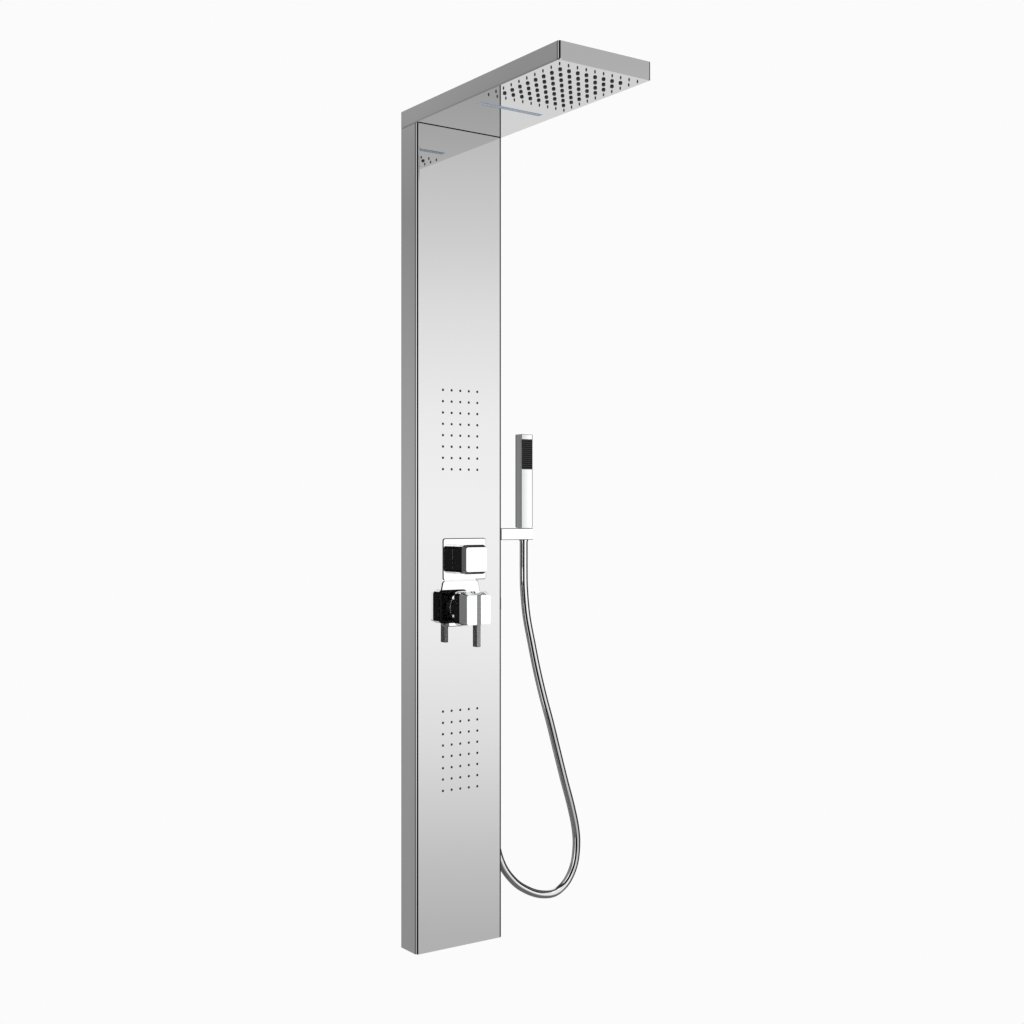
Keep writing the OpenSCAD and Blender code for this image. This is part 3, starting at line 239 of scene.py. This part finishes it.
studioSettings = {
    "backdrop": 0.965,
    "fill": 0.85,
    "peak": 2.6,
    "ring": [  # degrees from +Y towards +X, and brightness at eye level
        (0, 0.06), (8, 0.06), (14, 0.5), (20, 0.84), (42, 0.84), (46, 0.05), (133, 0.05), (137, 1.24),
        (186, 1.24), (192, 0.012), (240, 0.012), (244, 1.5), (261, 1.5), (265, 0.1), (280, 0.13),
        (296, 0.22), (312, 0.33), (325, 0.38), (329, 0.49), (331, 0.49), (337, 0.1), (360, 0.06),
    ],
    "shares": [  # degrees, and how much of the front's, the side's and no fall with height each sector has
        (0, (0, 0, 1)), (44, (0, 0, 1)), (50, (1, 0, 0)), (258, (1, 0, 0)), (268, (0, 1, 0)),
        (345, (0, 1, 0)), (352, (0, 0, 1)), (360, (0, 0, 1)),
    ],
    "frontRise": [(-90, 0.45), (-30, 0.47), (-17, 0.5), (-14, 0.6), (-9, 0.83), (-5, 0.95), (0, 1.0),
                  (4, 0.95), (8, 0.83), (11, 0.7), (14, 0.6), (18, 0.47), (23, 0.6), (28, 1.0), (90, 1.0)],
    "cap": [(-90, 0.04), (-68, 0.05), (-60, 2.2), (-38, 2.2), (-30, 1), (60, 1), (67, 0.06),
            (90, 0.04)],  # dark overhead and below, a bright strip low down
    "capPeak": 2.2,
    "sideRise": [(-90, 0.7), (-16, 0.76), (-8, 0.82), (-4, 0.92), (0, 1.0), (5, 0.9), (12, 0.7), (15, 0.8),
                 (18, 1.0), (90, 1.0)],
}


def buildWorld(settings):
    world = bpy.data.worlds.new("studio")
    bpy.context.scene.world = world
    shader = Shader(world)
    way = shader.node("SeparateXYZ", {}, {0: shader.place("Generated")})
    peak = settings["peak"]
    turn = (way.out("X").math("ARCTAN2", way.out("Y")) / (2 * math.pi)).math("FRACT")
    height = way.out("Z").math("ARCSINE") / math.pi + 0.5
    ring = shader.ramp(turn, *[(angle / 360, level / peak) for angle, level in settings["ring"]])
    shares = shader.node("SeparateColor", {}, {
        0: shader.ramp(turn, *[(angle / 360, colour) for angle, colour in settings["shares"]])})
    front, side, cap = (
        shader.ramp(height, *[(angle / 180 + 0.5, level / top) for angle, level in settings[name]])
        for name, top in (("frontRise", 1), ("sideRise", 1), ("cap", settings["capPeak"])))
    sectors = front * shares.out("Red") + side * shares.out("Green") + shares.out("Blue")
    rise = sectors * cap * settings["capPeak"]
    seen = shader.node("LightPath", out="Is Camera Ray")
    diffuse = seen.out("Is Diffuse Ray")
    around = ring * rise * peak * (1 - diffuse) + diffuse * settings["fill"]
    level = around * (1 - seen) + seen * settings["backdrop"]
    background = shader.node("Background", {}, {"Color": level, "Strength": 1})
    shader.node("OutputWorld", {}, {"Surface": background})


buildWorld(studioSettings)
bpy.context.scene.view_settings.view_transform = "Standard"


floorSettings = {
    "place": (0, -0.2, -1.45),
    "radius": 1.3,
    "corners": 96,
    "paint": (0.9, 0.9, 0.9),
    "mirrored": 0.08,  # its brightness in mirror finishes
    "mirroredShare": 0.9,
    "backdropShare": 0.7,
}


def addFloor(settings):
    bpy.ops.mesh.primitive_circle_add(vertices=settings["corners"], radius=settings["radius"],
                                      fill_type="NGON", location=settings["place"])
    floor = bpy.context.object
    floor.name = "floor"
    shader = newShader("paleFloor")
    path = shader.node("LightPath", out="Is Camera Ray")
    matt = shader.node("BsdfDiffuse", {}, {"Color": settings["paint"]})
    glow = shader.node("Emission", {}, {"Color": (1, 1, 1), "Strength": studioSettings["backdrop"]})
    dark = shader.node("Emission", {}, {"Color": (1, 1, 1), "Strength": settings["mirrored"]})
    glossy = path.out("Is Glossy Ray") * settings["mirroredShare"]
    mirrored = shader.node("MixShader", {}, {0: glossy, 1: matt, 2: dark})
    both = shader.node("MixShader", {}, {0: path * settings["backdropShare"], 1: mirrored, 2: glow})
    shader.node("OutputMaterial", {}, {"Surface": both})
    floor.data.materials.append(shader.owner)


addFloor(floorSettings)

lampSettings = {"place": (-1.2, -3.0, 2.2), "size": 2.0, "power": 30}


def addLamp(settings):
    bpy.ops.object.light_add(type="AREA", location=settings["place"])
    lamp = bpy.context.object
    lamp.name = "frontSoftbox"
    lamp.data.size = settings["size"]
    lamp.data.energy = settings["power"]
    lamp.rotation_euler = (-Vector(settings["place"])).to_track_quat("-Z", "Y").to_euler()
    lamp.visible_glossy = False


addLamp(lampSettings)
print("studio built")

# Finishes: metals


def polishedSteel():  # mirror sheet with the last trace of its rolling, and faint wiping marks
    shader = newShader("polishedSteel")
    grain = shader.noise(shader.stretched((900, 900, 6)), 1, 2)
    wipes = shader.noise(shader.stretched((14, 14, 3), (0.3, 0.2, 0)), 1, 4)
    marks = shader.ramp(wipes, (0.0, 0), (0.55, 0), (0.8, 1))
    return shader.surface({
        "Base Color": shader.mix(grain, (0.69, 0.69, 0.695), (0.71, 0.71, 0.715)),
        "Metallic": 1,
        "Roughness": shader.spread(grain, 0.012, 0.028) + marks * 0.02,
    })


def chrome():  # plated brass, a touch bluer than steel, with faint polishing swirls
    shader = newShader("chrome")
    cloud = shader.noise(shader.place(), 60, 3)
    swirls = shader.node("TexWave", {"wave_type": "RINGS"},
                         {"Vector": shader.place(), "Scale": 45, "Distortion": 9, "Detail": 3})
    return shader.surface({
        "Base Color": shader.mix(cloud, (0.88, 0.885, 0.895), (0.91, 0.91, 0.915)),
        "Metallic": 1,
        "Roughness": shader.spread(cloud, 0.015, 0.035) + swirls * 0.012,
    })


# Painted dark reflections: darker bands painted by their place on the piece, to match the photograph. They
# stand in for the dark surroundings a mirror finish would show, which no reflection in this studio gives.
# Each gives its axis, the shade before and after the step, and where the step starts and ends.

barPaintedReflections = [("Z", 1, 0.05, 0.0170, 0.0173), ("Z", 0.05, 1, -0.0040, -0.0037)]  # painted dark reflections along the upper and lower edges
handsetPaintedReflections = [("Y", 1, 0.16, -0.0400, -0.0375), ("X", 0.66, 1, 0.1500, 0.1700)]  # painted dark reflections: the back corner, and the left side shading into the left part of the front


def chromeWithPaintedReflections(name, shades):  # plated like chrome, with such bands of painted dark reflection
    shader = newShader(name)
    parts = shader.node("SeparateXYZ", {}, {0: shader.place()})
    cloud = shader.noise(shader.place(), 60, 3)
    share = shader.spread(cloud, 0.98, 1)
    for axis, *values in shades:
        share = share * shader.spread(parts.out(axis), *values)
    return shader.surface({
        "Base Color": shader.mix(share, (0.0, 0.0, 0.0), (0.87, 0.875, 0.88)),
        "Metallic": 1,
        "Roughness": shader.spread(cloud, 0.035, 0.06),
    })


def satinNickel():  # brushed along its length, in fine lighter and darker lines
    shader = newShader("satinNickel")
    lines = shader.noise(shader.stretched((620, 620, 3)), 1, 4, 0.7)
    fine = shader.noise(shader.stretched((2400, 2400, 14)), 1, 2)
    return shader.surface({
        "Base Color": shader.ramp(lines, (0.3, (0.16, 0.16, 0.165)), (0.5, (0.44, 0.44, 0.45)),
                                  (0.68, (0.72, 0.72, 0.73))),
        "Metallic": 1,
        "Roughness": shader.spread(fine, 0.42, 0.55),
        "Normal": shader.bump(lines * 0.6 + fine * 0.4, 0.25, 0.0002),
    })


def millSteel():  # unpolished sheet, with its rolling lines, dull patches and a few scratches
    shader = newShader("millSteel")
    lines = shader.noise(shader.stretched((8, 500, 500)), 1, 3)
    cloud = shader.noise(shader.place(), 22, 4)
    scratch = shader.noise(shader.stretched((9, 340, 340), (0, 0.5, 0)), 1, 1)
    cut = shader.ramp(scratch, (0, 0), (0.66, 0), (0.7, 1))
    return shader.surface({
        "Base Color": shader.mix(cut * 0.5, shader.mix(cloud, (0.47, 0.47, 0.48), (0.60, 0.60, 0.605)),
                                 (0.75, 0.75, 0.75)),
        "Metallic": 1,
        "Roughness": shader.spread(cloud, 0.28, 0.46) - cut * 0.08,
        "Normal": shader.bump(lines + cut * 0.6, 0.2, 0.0002),
    })


def blackenedSteel():  # oiled hex-socket grub screws
    shader = newShader("blackenedSteel")
    cloud = shader.noise(shader.place(), 900, 4)
    return shader.surface({
        "Base Color": shader.mix(cloud, (0.014, 0.014, 0.015), (0.045, 0.043, 0.042)),
        "Metallic": 0.9,
        "Roughness": shader.spread(cloud, 0.3, 0.5),
        "Normal": shader.bump(cloud, 0.25, 0.0001),
    })


def castBrass():  # sand-cast skin, duller in its hollows
    shader = newShader("castBrass")
    skin = shader.noise(shader.place(), 520, 5, 0.65)
    cloud = shader.noise(shader.place(), 38, 3)
    stain = shader.ramp(cloud, (0.35, 0), (0.7, 1))
    return shader.surface({
        "Base Color": shader.mix(stain, (0.74, 0.53, 0.23), (0.47, 0.31, 0.13)),
        "Metallic": 1,
        "Roughness": shader.spread(skin, 0.26, 0.44) + stain * 0.1,
        "Normal": shader.bump(skin, 0.35, 0.0003),
    })


def drawnCopper():  # drawn pipe, with heat colours near its soldered ends
    shader = newShader("drawnCopper")
    lines = shader.noise(shader.stretched((1400, 1400, 30)), 1, 2)
    cloud = shader.noise(shader.place(), 110, 3)
    return shader.surface({
        "Base Color": shader.ramp(cloud, (0.3, (0.42, 0.17, 0.09)), (0.5, (0.72, 0.35, 0.2)),
                                  (0.75, (0.8, 0.47, 0.3))),
        "Metallic": 1,
        "Roughness": shader.spread(cloud, 0.2, 0.38),
        "Normal": shader.bump(lines, 0.2, 0.0001),
    })


# Finishes: hoses, plastics and silicone


def braidedSteel():  # stainless braid over rubber: two sets of wires that cross
    shader = newShader("braidedSteel")
    first = shader.bands(shader.stretched((1, 1, 1), (0.6, 0.5, 0)), 190)
    second = shader.bands(shader.stretched((1, 1, 1), (-0.6, -0.5, 0)), 190)
    wires = first.math("MAXIMUM", second)
    cloud = shader.noise(shader.place(), 40, 3)
    return shader.surface({
        "Base Color": shader.mix(wires, (0.08, 0.08, 0.085),
                                 shader.mix(cloud, (0.5, 0.5, 0.51), (0.66, 0.66, 0.67))),
        "Metallic": shader.spread(wires, 0.4, 1),
        "Roughness": shader.spread(wires, 0.6, 0.28),
        "Normal": shader.bump(wires, 0.6, 0.0006),
    })


def silverHoseSkin():  # clear plastic over a silver foil, whose windings show as faint rings
    shader = newShader("silverHoseSkin")
    rings = shader.bands(shader.stretched((1, 1, 1), (0.12, 0.1, 0)), 95)
    cloud = shader.noise(shader.place(), 70, 3)
    return shader.surface({
        "Base Color": shader.mix(rings * 0.5, (0.82, 0.82, 0.835), (0.72, 0.72, 0.74)),
        "Metallic": 1,
        "Roughness": shader.spread(cloud, 0.05, 0.11),
        "Coat Weight": 0.6,
        "Coat Roughness": 0.04,
        "Normal": shader.bump(rings, 0.05, 0.0001),
    })


def moulded(name, colour, roughness, sparks, chalk=0.0):  # spark-eroded mould texture, light dust
    shader = newShader(name)
    texture = shader.noise(shader.place(), sparks, 3, 0.6)
    cloud = shader.noise(shader.place(), 26, 4)
    darker = tuple(channel * 0.8 for channel in colour)
    dust = shader.ramp(shader.noise(shader.place(), 140, 5), (0.5, 0), (0.85, 1))
    return shader.surface({
        "Base Color": shader.mix(dust * chalk, shader.mix(cloud, darker, colour), (0.6, 0.6, 0.58)),
        "Roughness": shader.spread(cloud, roughness - 0.07, roughness + 0.07) + dust * chalk * 0.3,
        "Normal": shader.bump(texture, 0.25, 0.00025),
    })


ribSettings = {"crest": -0.0568, "groove": -0.0562}  # their places along Y


def sprayPadRubber(settings):  # black between its ribs and greyer on their crests: painted shade in the grooves, painted highlight on the crests
    shader = newShader("sprayPadRubber")
    parts = shader.node("SeparateXYZ", {}, {0: shader.place()})
    crest = shader.spread(parts.out("Y"), 1, 0, settings["crest"], settings["groove"])
    texture = shader.noise(shader.place(), 1100, 3)
    return shader.surface({
        # painted shade in the grooves, painted highlight on the crests
        "Base Color": shader.mix(crest, (0.002, 0.002, 0.002),
                                 shader.mix(texture, (0.03, 0.03, 0.031), (0.05, 0.05, 0.052))),
        "Roughness": shader.spread(texture, 0.4, 0.55),
        "Specular IOR Level": 0.18,
        "Normal": shader.bump(texture, 0.2, 0.0002),
    })


finishes = {
    "polished_steel": polishedSteel(),
    "chrome": chrome(),
    # chrome with painted dark reflections along the holder bar's upper and lower edges
    "bar_chrome_painted_reflections": chromeWithPaintedReflections("barChromePaintedReflections", barPaintedReflections),
    # chrome with painted dark reflections on the hand shower's back corner, left side and the left part of
    # its front
    "handset_chrome_painted_reflections": chromeWithPaintedReflections("handsetChromePaintedReflections", handsetPaintedReflections),
    "satin_nickel": satinNickel(),
    "plain_steel": millSteel(),
    "dark_silicone": moulded("darkSilicone", (0.035, 0.037, 0.042), 0.5, 1500, 0.12),
    "black_silicone": moulded("blackSilicone", (0.01, 0.01, 0.011), 0.48, 1500, 0.05),
    "white_plastic": moulded("whitePlastic", (0.84, 0.84, 0.81), 0.4, 900, 0.1),
    "blue_grey_plastic": moulded("blueGreyPlastic", (0.45, 0.54, 0.63), 0.28, 1200, 0.05),
    "grey_plastic": moulded("greyPlastic", (0.23, 0.23, 0.24), 0.42, 1000, 0.1),
    "brass": castBrass(),
    "copper": drawnCopper(),
    "inner_hose": braidedSteel(),
    "black_steel": blackenedSteel(),
    "black_plastic": sprayPadRubber(ribSettings),
    "silver_hose": silverHoseSkin(),
}


def paint(piece, slot):
    piece.data.materials.clear()
    piece.data.materials.append(finishes[slot])


for name, piece in nodes.items():
    paint(piece, slotOf[name])
paint(showerHose, slotOf["shower_hose"])
print("finishes made:", len(finishes))

# Softened pieces: each stands for a CAD node, with its doubles merged and its edges rounded

sameSpot = 0.00001  # metres between two places that count as one
facing = 0.9  # how closely a face's normal follows an axis, to count as turned that way
evenWeight = 100
meshSettings = {
    "merge": 0.000005,
    "flat": math.radians(0.4),  # faces that turn less than this become one
    "sharpest": math.radians(32),
    "ringTurn": math.radians(5),
    "newPieces": math.radians(35),
}


def isRing(points, place):  # an edge that runs round the block, in one plane across its axis
    return abs(points[0].y - points[1].y) < sameSpot


def isFrontRing(points, place):
    return all(abs(point.y - place[0].y) < sameSpot for point in points)


def isTopRing(points, place):
    return all(abs(point.z - place[1].z) < sameSpot for point in points)


def isAny(points, place):
    return True


softSettings = {  # node: width of its rounded edges in metres, the steps across each, and which ones
    "column_casing": (0.0012, 2, isTopRing),
    "hood_shell": (0.0004, 2, isTopRing),
    "hood_tray": (0.0003, 2),
    "bottom_cap": (0.0003, 2),
    "rain_nozzle_mat": (0.0002, 1),
    "upper_jet_mat": (0.0003, 2),
    "lower_jet_mat": (0.0003, 2),
    "waterfall_box": (0.0003, 2),
    "diverter_plate": (0.0017, 1, isFrontRing),
    "diverter_knob": (0.0005, 2, isRing),
    "mixer_plate": (0.0017, 1, isFrontRing),
    "mixer_sleeve": (0.0005, 3),
    "ball_cap": (0.0003, 2),
    "mixer_handle": (0.0005, 2, isRing),
    "lever_bar": (0.0014, 3),
    "holder_bar": (0.0014, 1, isAny),
    "holder_screws": (0.0002, 2),
    "spray_pad": (0.0003, 2),
    "outlet_elbow": (0.0004, 2),
    "upper_hanger": (0.0003, 2),
    "lower_hanger": (0.0003, 2),
    "upper_wall_bracket": (0.0004, 2),
    "lower_wall_bracket": (0.0004, 2),
    "mixer_body": (0.0006, 2),
    "diverter_body": (0.0006, 2),
}


def titleOf(name):
    first, *rest = name.split("_")
    return first + "".join(word.capitalize() for word in rest)


def mergedCopy(name):
    mesh = nodes[name].data.copy()
    piece = bpy.data.objects.new(titleOf(name), mesh)
    bpy.context.scene.collection.objects.link(piece)
    bpy.ops.object.select_all(action="DESELECT")
    piece.select_set(True)
    bpy.context.view_layer.objects.active = piece
    bpy.ops.object.mode_set(mode="EDIT")
    bpy.ops.mesh.select_all(action="SELECT")
    bpy.ops.mesh.remove_doubles(threshold=meshSettings["merge"])
    bpy.ops.mesh.dissolve_limited(angle_limit=meshSettings["flat"])
    bpy.ops.object.mode_set(mode="OBJECT")
    return piece


def facesOfEdges(mesh):
    faces = {}
    for face in mesh.polygons:
        for key in face.edge_keys:
            faces.setdefault(key, []).append(face)
    return faces


def weighEdges(piece, chosen, place):  # the bevel rounds the edges that have a weight
    mesh = piece.data
    weights = mesh.attributes.new("bevel_weight_edge", "FLOAT", "EDGE")
    faces = facesOfEdges(mesh)
    least = meshSettings["ringTurn" if chosen is isRing else "sharpest"]
    for edge in mesh.edges:
        beside = faces.get(edge.key, [])
        if len(beside) == 2:
            turn = beside[0].normal.angle(beside[1].normal, 0)
            points = [mesh.vertices[i].co for i in edge.vertices]
            if turn > least and chosen(points, place):
                weights.data[edge.index].value = 1


# The folds of the sheet: wider on their outside than the CAD's, and shaded as true rounds

foldSettings = {
    "cadRadius": 0.004,
    "radius": 0.007,
    "tolerance": 0.0003,
    "upright": 0.1,
    "turned": 0.02,
    "column_casing": [(-0.096, -0.056), (0.096, -0.056)],
    "hood_shell": [(-0.096, -0.510)],
}


def foldOf(point, centres, settings):
    for x, y in centres:
        away = Vector((point.x - x, point.y - y))
        onFold = abs(away.length - settings["cadRadius"]) < settings["tolerance"]
        if onFold and away.x * x > -1e-6 and away.y < settings["tolerance"]:
            return Vector((x, y)), away.normalized()
    return None


def widenFolds(piece, name, settings):
    mesh = piece.data
    centres = settings[name]
    grown = settings["radius"] - settings["cadRadius"]
    radial = {}
    for vertex in mesh.vertices:
        found = foldOf(vertex.co, centres, settings)
        if found:
            centre, away = found
            inwards = Vector((-math.copysign(grown, centre.x), grown))
            spot = centre + inwards + away * settings["radius"]
            radial[vertex.index] = Vector((away.x, away.y, 0))
            vertex.co = (spot.x, spot.y, vertex.co.z)
    mesh.update()
    for face in mesh.polygons:
        face.use_smooth = True
    normals = [None] * len(mesh.loops)
    for face in mesh.polygons:
        across = abs(face.normal.z) < settings["upright"]
        turned = min(abs(face.normal.x), abs(face.normal.y)) > settings["turned"]
        fold = across and turned and all(i in radial for i in face.vertices)
        for loop in face.loop_indices:
            normals[loop] = radial[mesh.loops[loop].vertex_index] if fold else face.normal.copy()
    mesh.normals_split_custom_set(normals)
    return len(radial)


# The hood's outer rim slopes in towards the tray

rimSettings = {"height": 0.0026, "depth": 0.0012, "side": 0.0992, "front": -0.5132, "bottom": 0.00005}


def slopeRim(piece, settings):
    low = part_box("hood_shell")[0].z
    bpy.ops.object.mode_set(mode="EDIT")
    bpy.ops.mesh.select_all(action="SELECT")
    bpy.ops.mesh.bisect(plane_co=(0, 0, low + settings["height"]), plane_no=(0, 0, 1))
    bpy.ops.object.mode_set(mode="OBJECT")
    for vertex in piece.data.vertices:
        x, y, z = vertex.co
        if z < low + settings["bottom"]:
            if abs(x) > settings["side"]:
                x -= math.copysign(settings["depth"], x)
            if y < settings["front"]:
                y += settings["depth"]
            vertex.co = (x, y, z)


def evenShading(piece, keepSharp):
    even = piece.modifiers.new("evenShading", "WEIGHTED_NORMAL")
    even.weight = evenWeight
    even.keep_sharp = keepSharp
    bpy.ops.object.modifier_apply(modifier=even.name)


def softened(name, width, steps, chosen=None):
    piece = mergedCopy(name)
    folded = name in foldSettings
    if chosen:
        weighEdges(piece, chosen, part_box(name))
    if not folded:
        bpy.ops.object.shade_smooth_by_angle(angle=meshSettings["sharpest"])
    edges = piece.modifiers.new("roundEdges", "BEVEL")
    edges.width = width
    edges.segments = steps
    edges.limit_method = "WEIGHT" if chosen else "ANGLE"
    edges.angle_limit = meshSettings["sharpest"]
    edges.miter_outer = "MITER_ARC"
    bpy.ops.object.modifier_apply(modifier=edges.name)
    if name == "hood_shell":
        slopeRim(piece, rimSettings)
    if folded:
        print(name, "fold points:", widenFolds(piece, name, foldSettings))
    else:
        evenShading(piece, bool(chosen) and chosen is not isRing)
    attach(piece, bodyOf[name])
    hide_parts(name)
    return piece


soft = {name: softened(name, *settings) for name, settings in softSettings.items()}
largest = max(len(piece.data.polygons) for piece in soft.values())
print("softened pieces made:", len(soft), "largest", largest)

# The rain nozzles' soft tips flare below the tray, but for those of the outer ring

tipSettings = {"pitchX": 0.0188, "pitchY": 0.0235, "middleY": -0.39, "count": 10, "flare": 1.32,
               "below": 0.00005}


def flareTips(piece, settings):
    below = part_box("hood_tray")[0].z - settings["below"]
    half = (settings["count"] - 1) / 2
    for vertex in piece.data.vertices:
        if vertex.co.z < below:
            column = round(vertex.co.x / settings["pitchX"] + half)
            row = round((vertex.co.y - settings["middleY"]) / settings["pitchY"] + half)
            middle = Vector(((column - half) * settings["pitchX"],
                             settings["middleY"] + (row - half) * settings["pitchY"], vertex.co.z))
            if min(column, row) > 0 and max(column, row) < settings["count"] - 1:
                vertex.co = middle + (vertex.co - middle) * settings["flare"]


flareTips(soft["rain_nozzle_mat"], tipSettings)

# Painted shade: the handle's and the knob's hollows and backs, which lie in shadow, get a dark dull
# material

paintedShadeSpaces = {
    "mixer_handle": {"low": (-0.0275, -0.1068, -0.1625), "high": (0.0275, -0.0885, -0.1075)},
    "diverter_knob": {"low": (-0.0137, -0.0890, -0.0642), "high": (0.0327, -0.0618, -0.0178)},
}


# a dark dull material that paints the shade of those hollows and backs
def paintedShadeFinish():
    shader = newShader("paintedShadeBack")
    skin = shader.noise(shader.place(), 700, 4)
    return shader.surface({
        "Base Color": shader.mix(skin, (0.012, 0.012, 0.013), (0.03, 0.03, 0.031)),
        "Roughness": shader.spread(skin, 0.6, 0.8),
        "Normal": shader.bump(skin, 0.3, 0.0002),
    })


backInPaintedShade = paintedShadeFinish()
for name, space in paintedShadeSpaces.items():
    piece = soft[name]
    piece.data.materials.append(backInPaintedShade)
    for face in piece.data.polygons:
        inside = all(low < at < high for low, at, high in zip(space["low"], face.center, space["high"]))
        # faces inside the hollow or facing the wall take the painted shade
        if inside or face.normal.y > facing:
            face.material_index = 1

# Hand shower: a square tube with rounded corners, a shadow gap at its foot and a recess for the pad

handsetSettings = {
    "low": (0.149, -0.056, 0.0188),
    "high": (0.179, -0.032, 0.2088),
    "frontRadius": 0.003,
    "backRadius": 0.006,
    "endRadius": 0.0012,
    "cornerSteps": 8,
    "endSteps": 3,
    "footGap": 0.0014,
    "footInset": 0.0016,
    "recess": 0.002,
    "recessReach": (0.01, 0.02),  # how far the middle of the recessed face may lie from the pad's
    "padMargin": 0.0002,
}


def selectWhere(piece, test, kind="FACE"):
    bpy.ops.object.mode_set(mode="EDIT")
    bpy.ops.mesh.select_mode(type=kind)
    bpy.ops.mesh.select_all(action="DESELECT")
    bpy.ops.object.mode_set(mode="OBJECT")
    for part in piece.data.edges if kind == "EDGE" else piece.data.polygons:
        part.select = test(part)
    bpy.ops.object.mode_set(mode="EDIT")


def startPiece(add, title, **settings):
    bpy.ops.object.select_all(action="DESELECT")
    add(**settings)
    piece = bpy.context.object
    piece.name = title
    bpy.ops.object.transform_apply(location=True, rotation=True, scale=True)
    return piece


def finishPiece(piece, node, finish):  # rides with the node's body, and is painted with the finish it is given
    bpy.ops.object.mode_set(mode="OBJECT")
    bpy.ops.object.shade_smooth_by_angle(angle=meshSettings["newPieces"])
    evenShading(piece, True)
    paint(piece, finish)
    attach(piece, bodyOf[node])
    return piece


def addHandset(settings):
    low, high = Vector(settings["low"]), Vector(settings["high"])
    padLow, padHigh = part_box("spray_pad")
    piece = startPiece(bpy.ops.mesh.primitive_cube_add, "handsetBody", size=1,
                       location=(low + high) / 2, scale=high - low)
    for radius, depth in ((settings["frontRadius"], low.y), (settings["backRadius"], high.y)):
        ends = [[piece.data.vertices[i].co.copy() for i in edge.vertices] for edge in piece.data.edges]
        corners = [abs(first.z - last.z) > (high.z - low.z) / 2 and abs(first.y - depth) < sameSpot
                   for first, last in ends]
        selectWhere(piece, lambda edge: corners[edge.index], "EDGE")
        bpy.ops.mesh.bevel(offset=radius, segments=settings["cornerSteps"], affect="EDGES")
        bpy.ops.object.mode_set(mode="OBJECT")
    selectWhere(piece, lambda face: face.normal.z > facing)
    bpy.ops.mesh.bevel(offset=settings["endRadius"], segments=settings["endSteps"], affect="EDGES")
    bpy.ops.object.mode_set(mode="OBJECT")
    selectWhere(piece, lambda face: face.normal.z < -facing)
    bpy.ops.transform.translate(value=(0, 0, settings["footGap"]))
    bpy.ops.mesh.inset(thickness=settings["footInset"])
    bpy.ops.mesh.extrude_region_move(TRANSFORM_OT_translate={"value": (0, 0, -settings["footGap"])})
    bpy.ops.object.mode_set(mode="OBJECT")
    margin = settings["padMargin"]
    for axis, place in ((2, padLow.z - margin), (2, padHigh.z + margin), (0, padLow.x - margin),
                        (0, padHigh.x + margin)):  # cuts the pad's outline into the front
        selectWhere(piece, lambda face: face.normal.y < -facing)
        point, normal = Vector(), Vector()
        point[axis], normal[axis] = place, 1
        bpy.ops.mesh.bisect(plane_co=point, plane_no=normal)
        bpy.ops.object.mode_set(mode="OBJECT")
    middle = (padLow + padHigh) / 2
    reachX, reachZ = settings["recessReach"]
    selectWhere(piece, lambda face: face.normal.y < -facing and abs(face.center.z - middle.z) < reachZ
                and abs(face.center.x - middle.x) < reachX)
    bpy.ops.mesh.extrude_region_move(TRANSFORM_OT_translate={"value": (0, settings["recess"], 0)})
    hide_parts("handset_body")
    # the hand shower takes the chrome with painted dark reflections on its back corner and left side
    return finishPiece(piece, "handset_body", "handset_chrome_painted_reflections")


# Lip of the waterfall: a soft bluish bar in the tray's slot, with its narrow outlet

lipSettings = {"middle": (0, -0.232), "size": (0.1396, 0.0106), "proud": 0.0005, "height": 0.002,
               "edge": 0.0003, "edgeSteps": 2, "inset": 0.0047, "depth": 0.0012}


def addWaterfallLip(settings):
    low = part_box("hood_tray")[0].z - settings["proud"]
    width, length = settings["size"]
    piece = startPiece(bpy.ops.mesh.primitive_cube_add, "waterfallLip", size=1,
                       location=(*settings["middle"], low + settings["height"] / 2),
                       scale=(width, length, settings["height"]))
    bpy.ops.object.mode_set(mode="EDIT")
    bpy.ops.mesh.select_all(action="SELECT")
    bpy.ops.mesh.bevel(offset=settings["edge"], segments=settings["edgeSteps"], affect="EDGES")
    bpy.ops.object.mode_set(mode="OBJECT")
    selectWhere(piece, lambda face: face.normal.z < -facing)
    bpy.ops.mesh.inset(thickness=settings["inset"])
    bpy.ops.mesh.extrude_region_move(TRANSFORM_OT_translate={"value": (0, 0, settings["depth"])})
    return finishPiece(piece, "waterfall_box", slotOf["waterfall_box"])


lip = addWaterfallLip(lipSettings)
handset = addHandset(handsetSettings)
# the holder bar takes the chrome with painted dark reflections along its upper and lower edges
paint(soft["holder_bar"], "bar_chrome_painted_reflections")
print("lip and hand shower made:", len(lip.data.polygons), "and", len(handset.data.polygons), "faces")
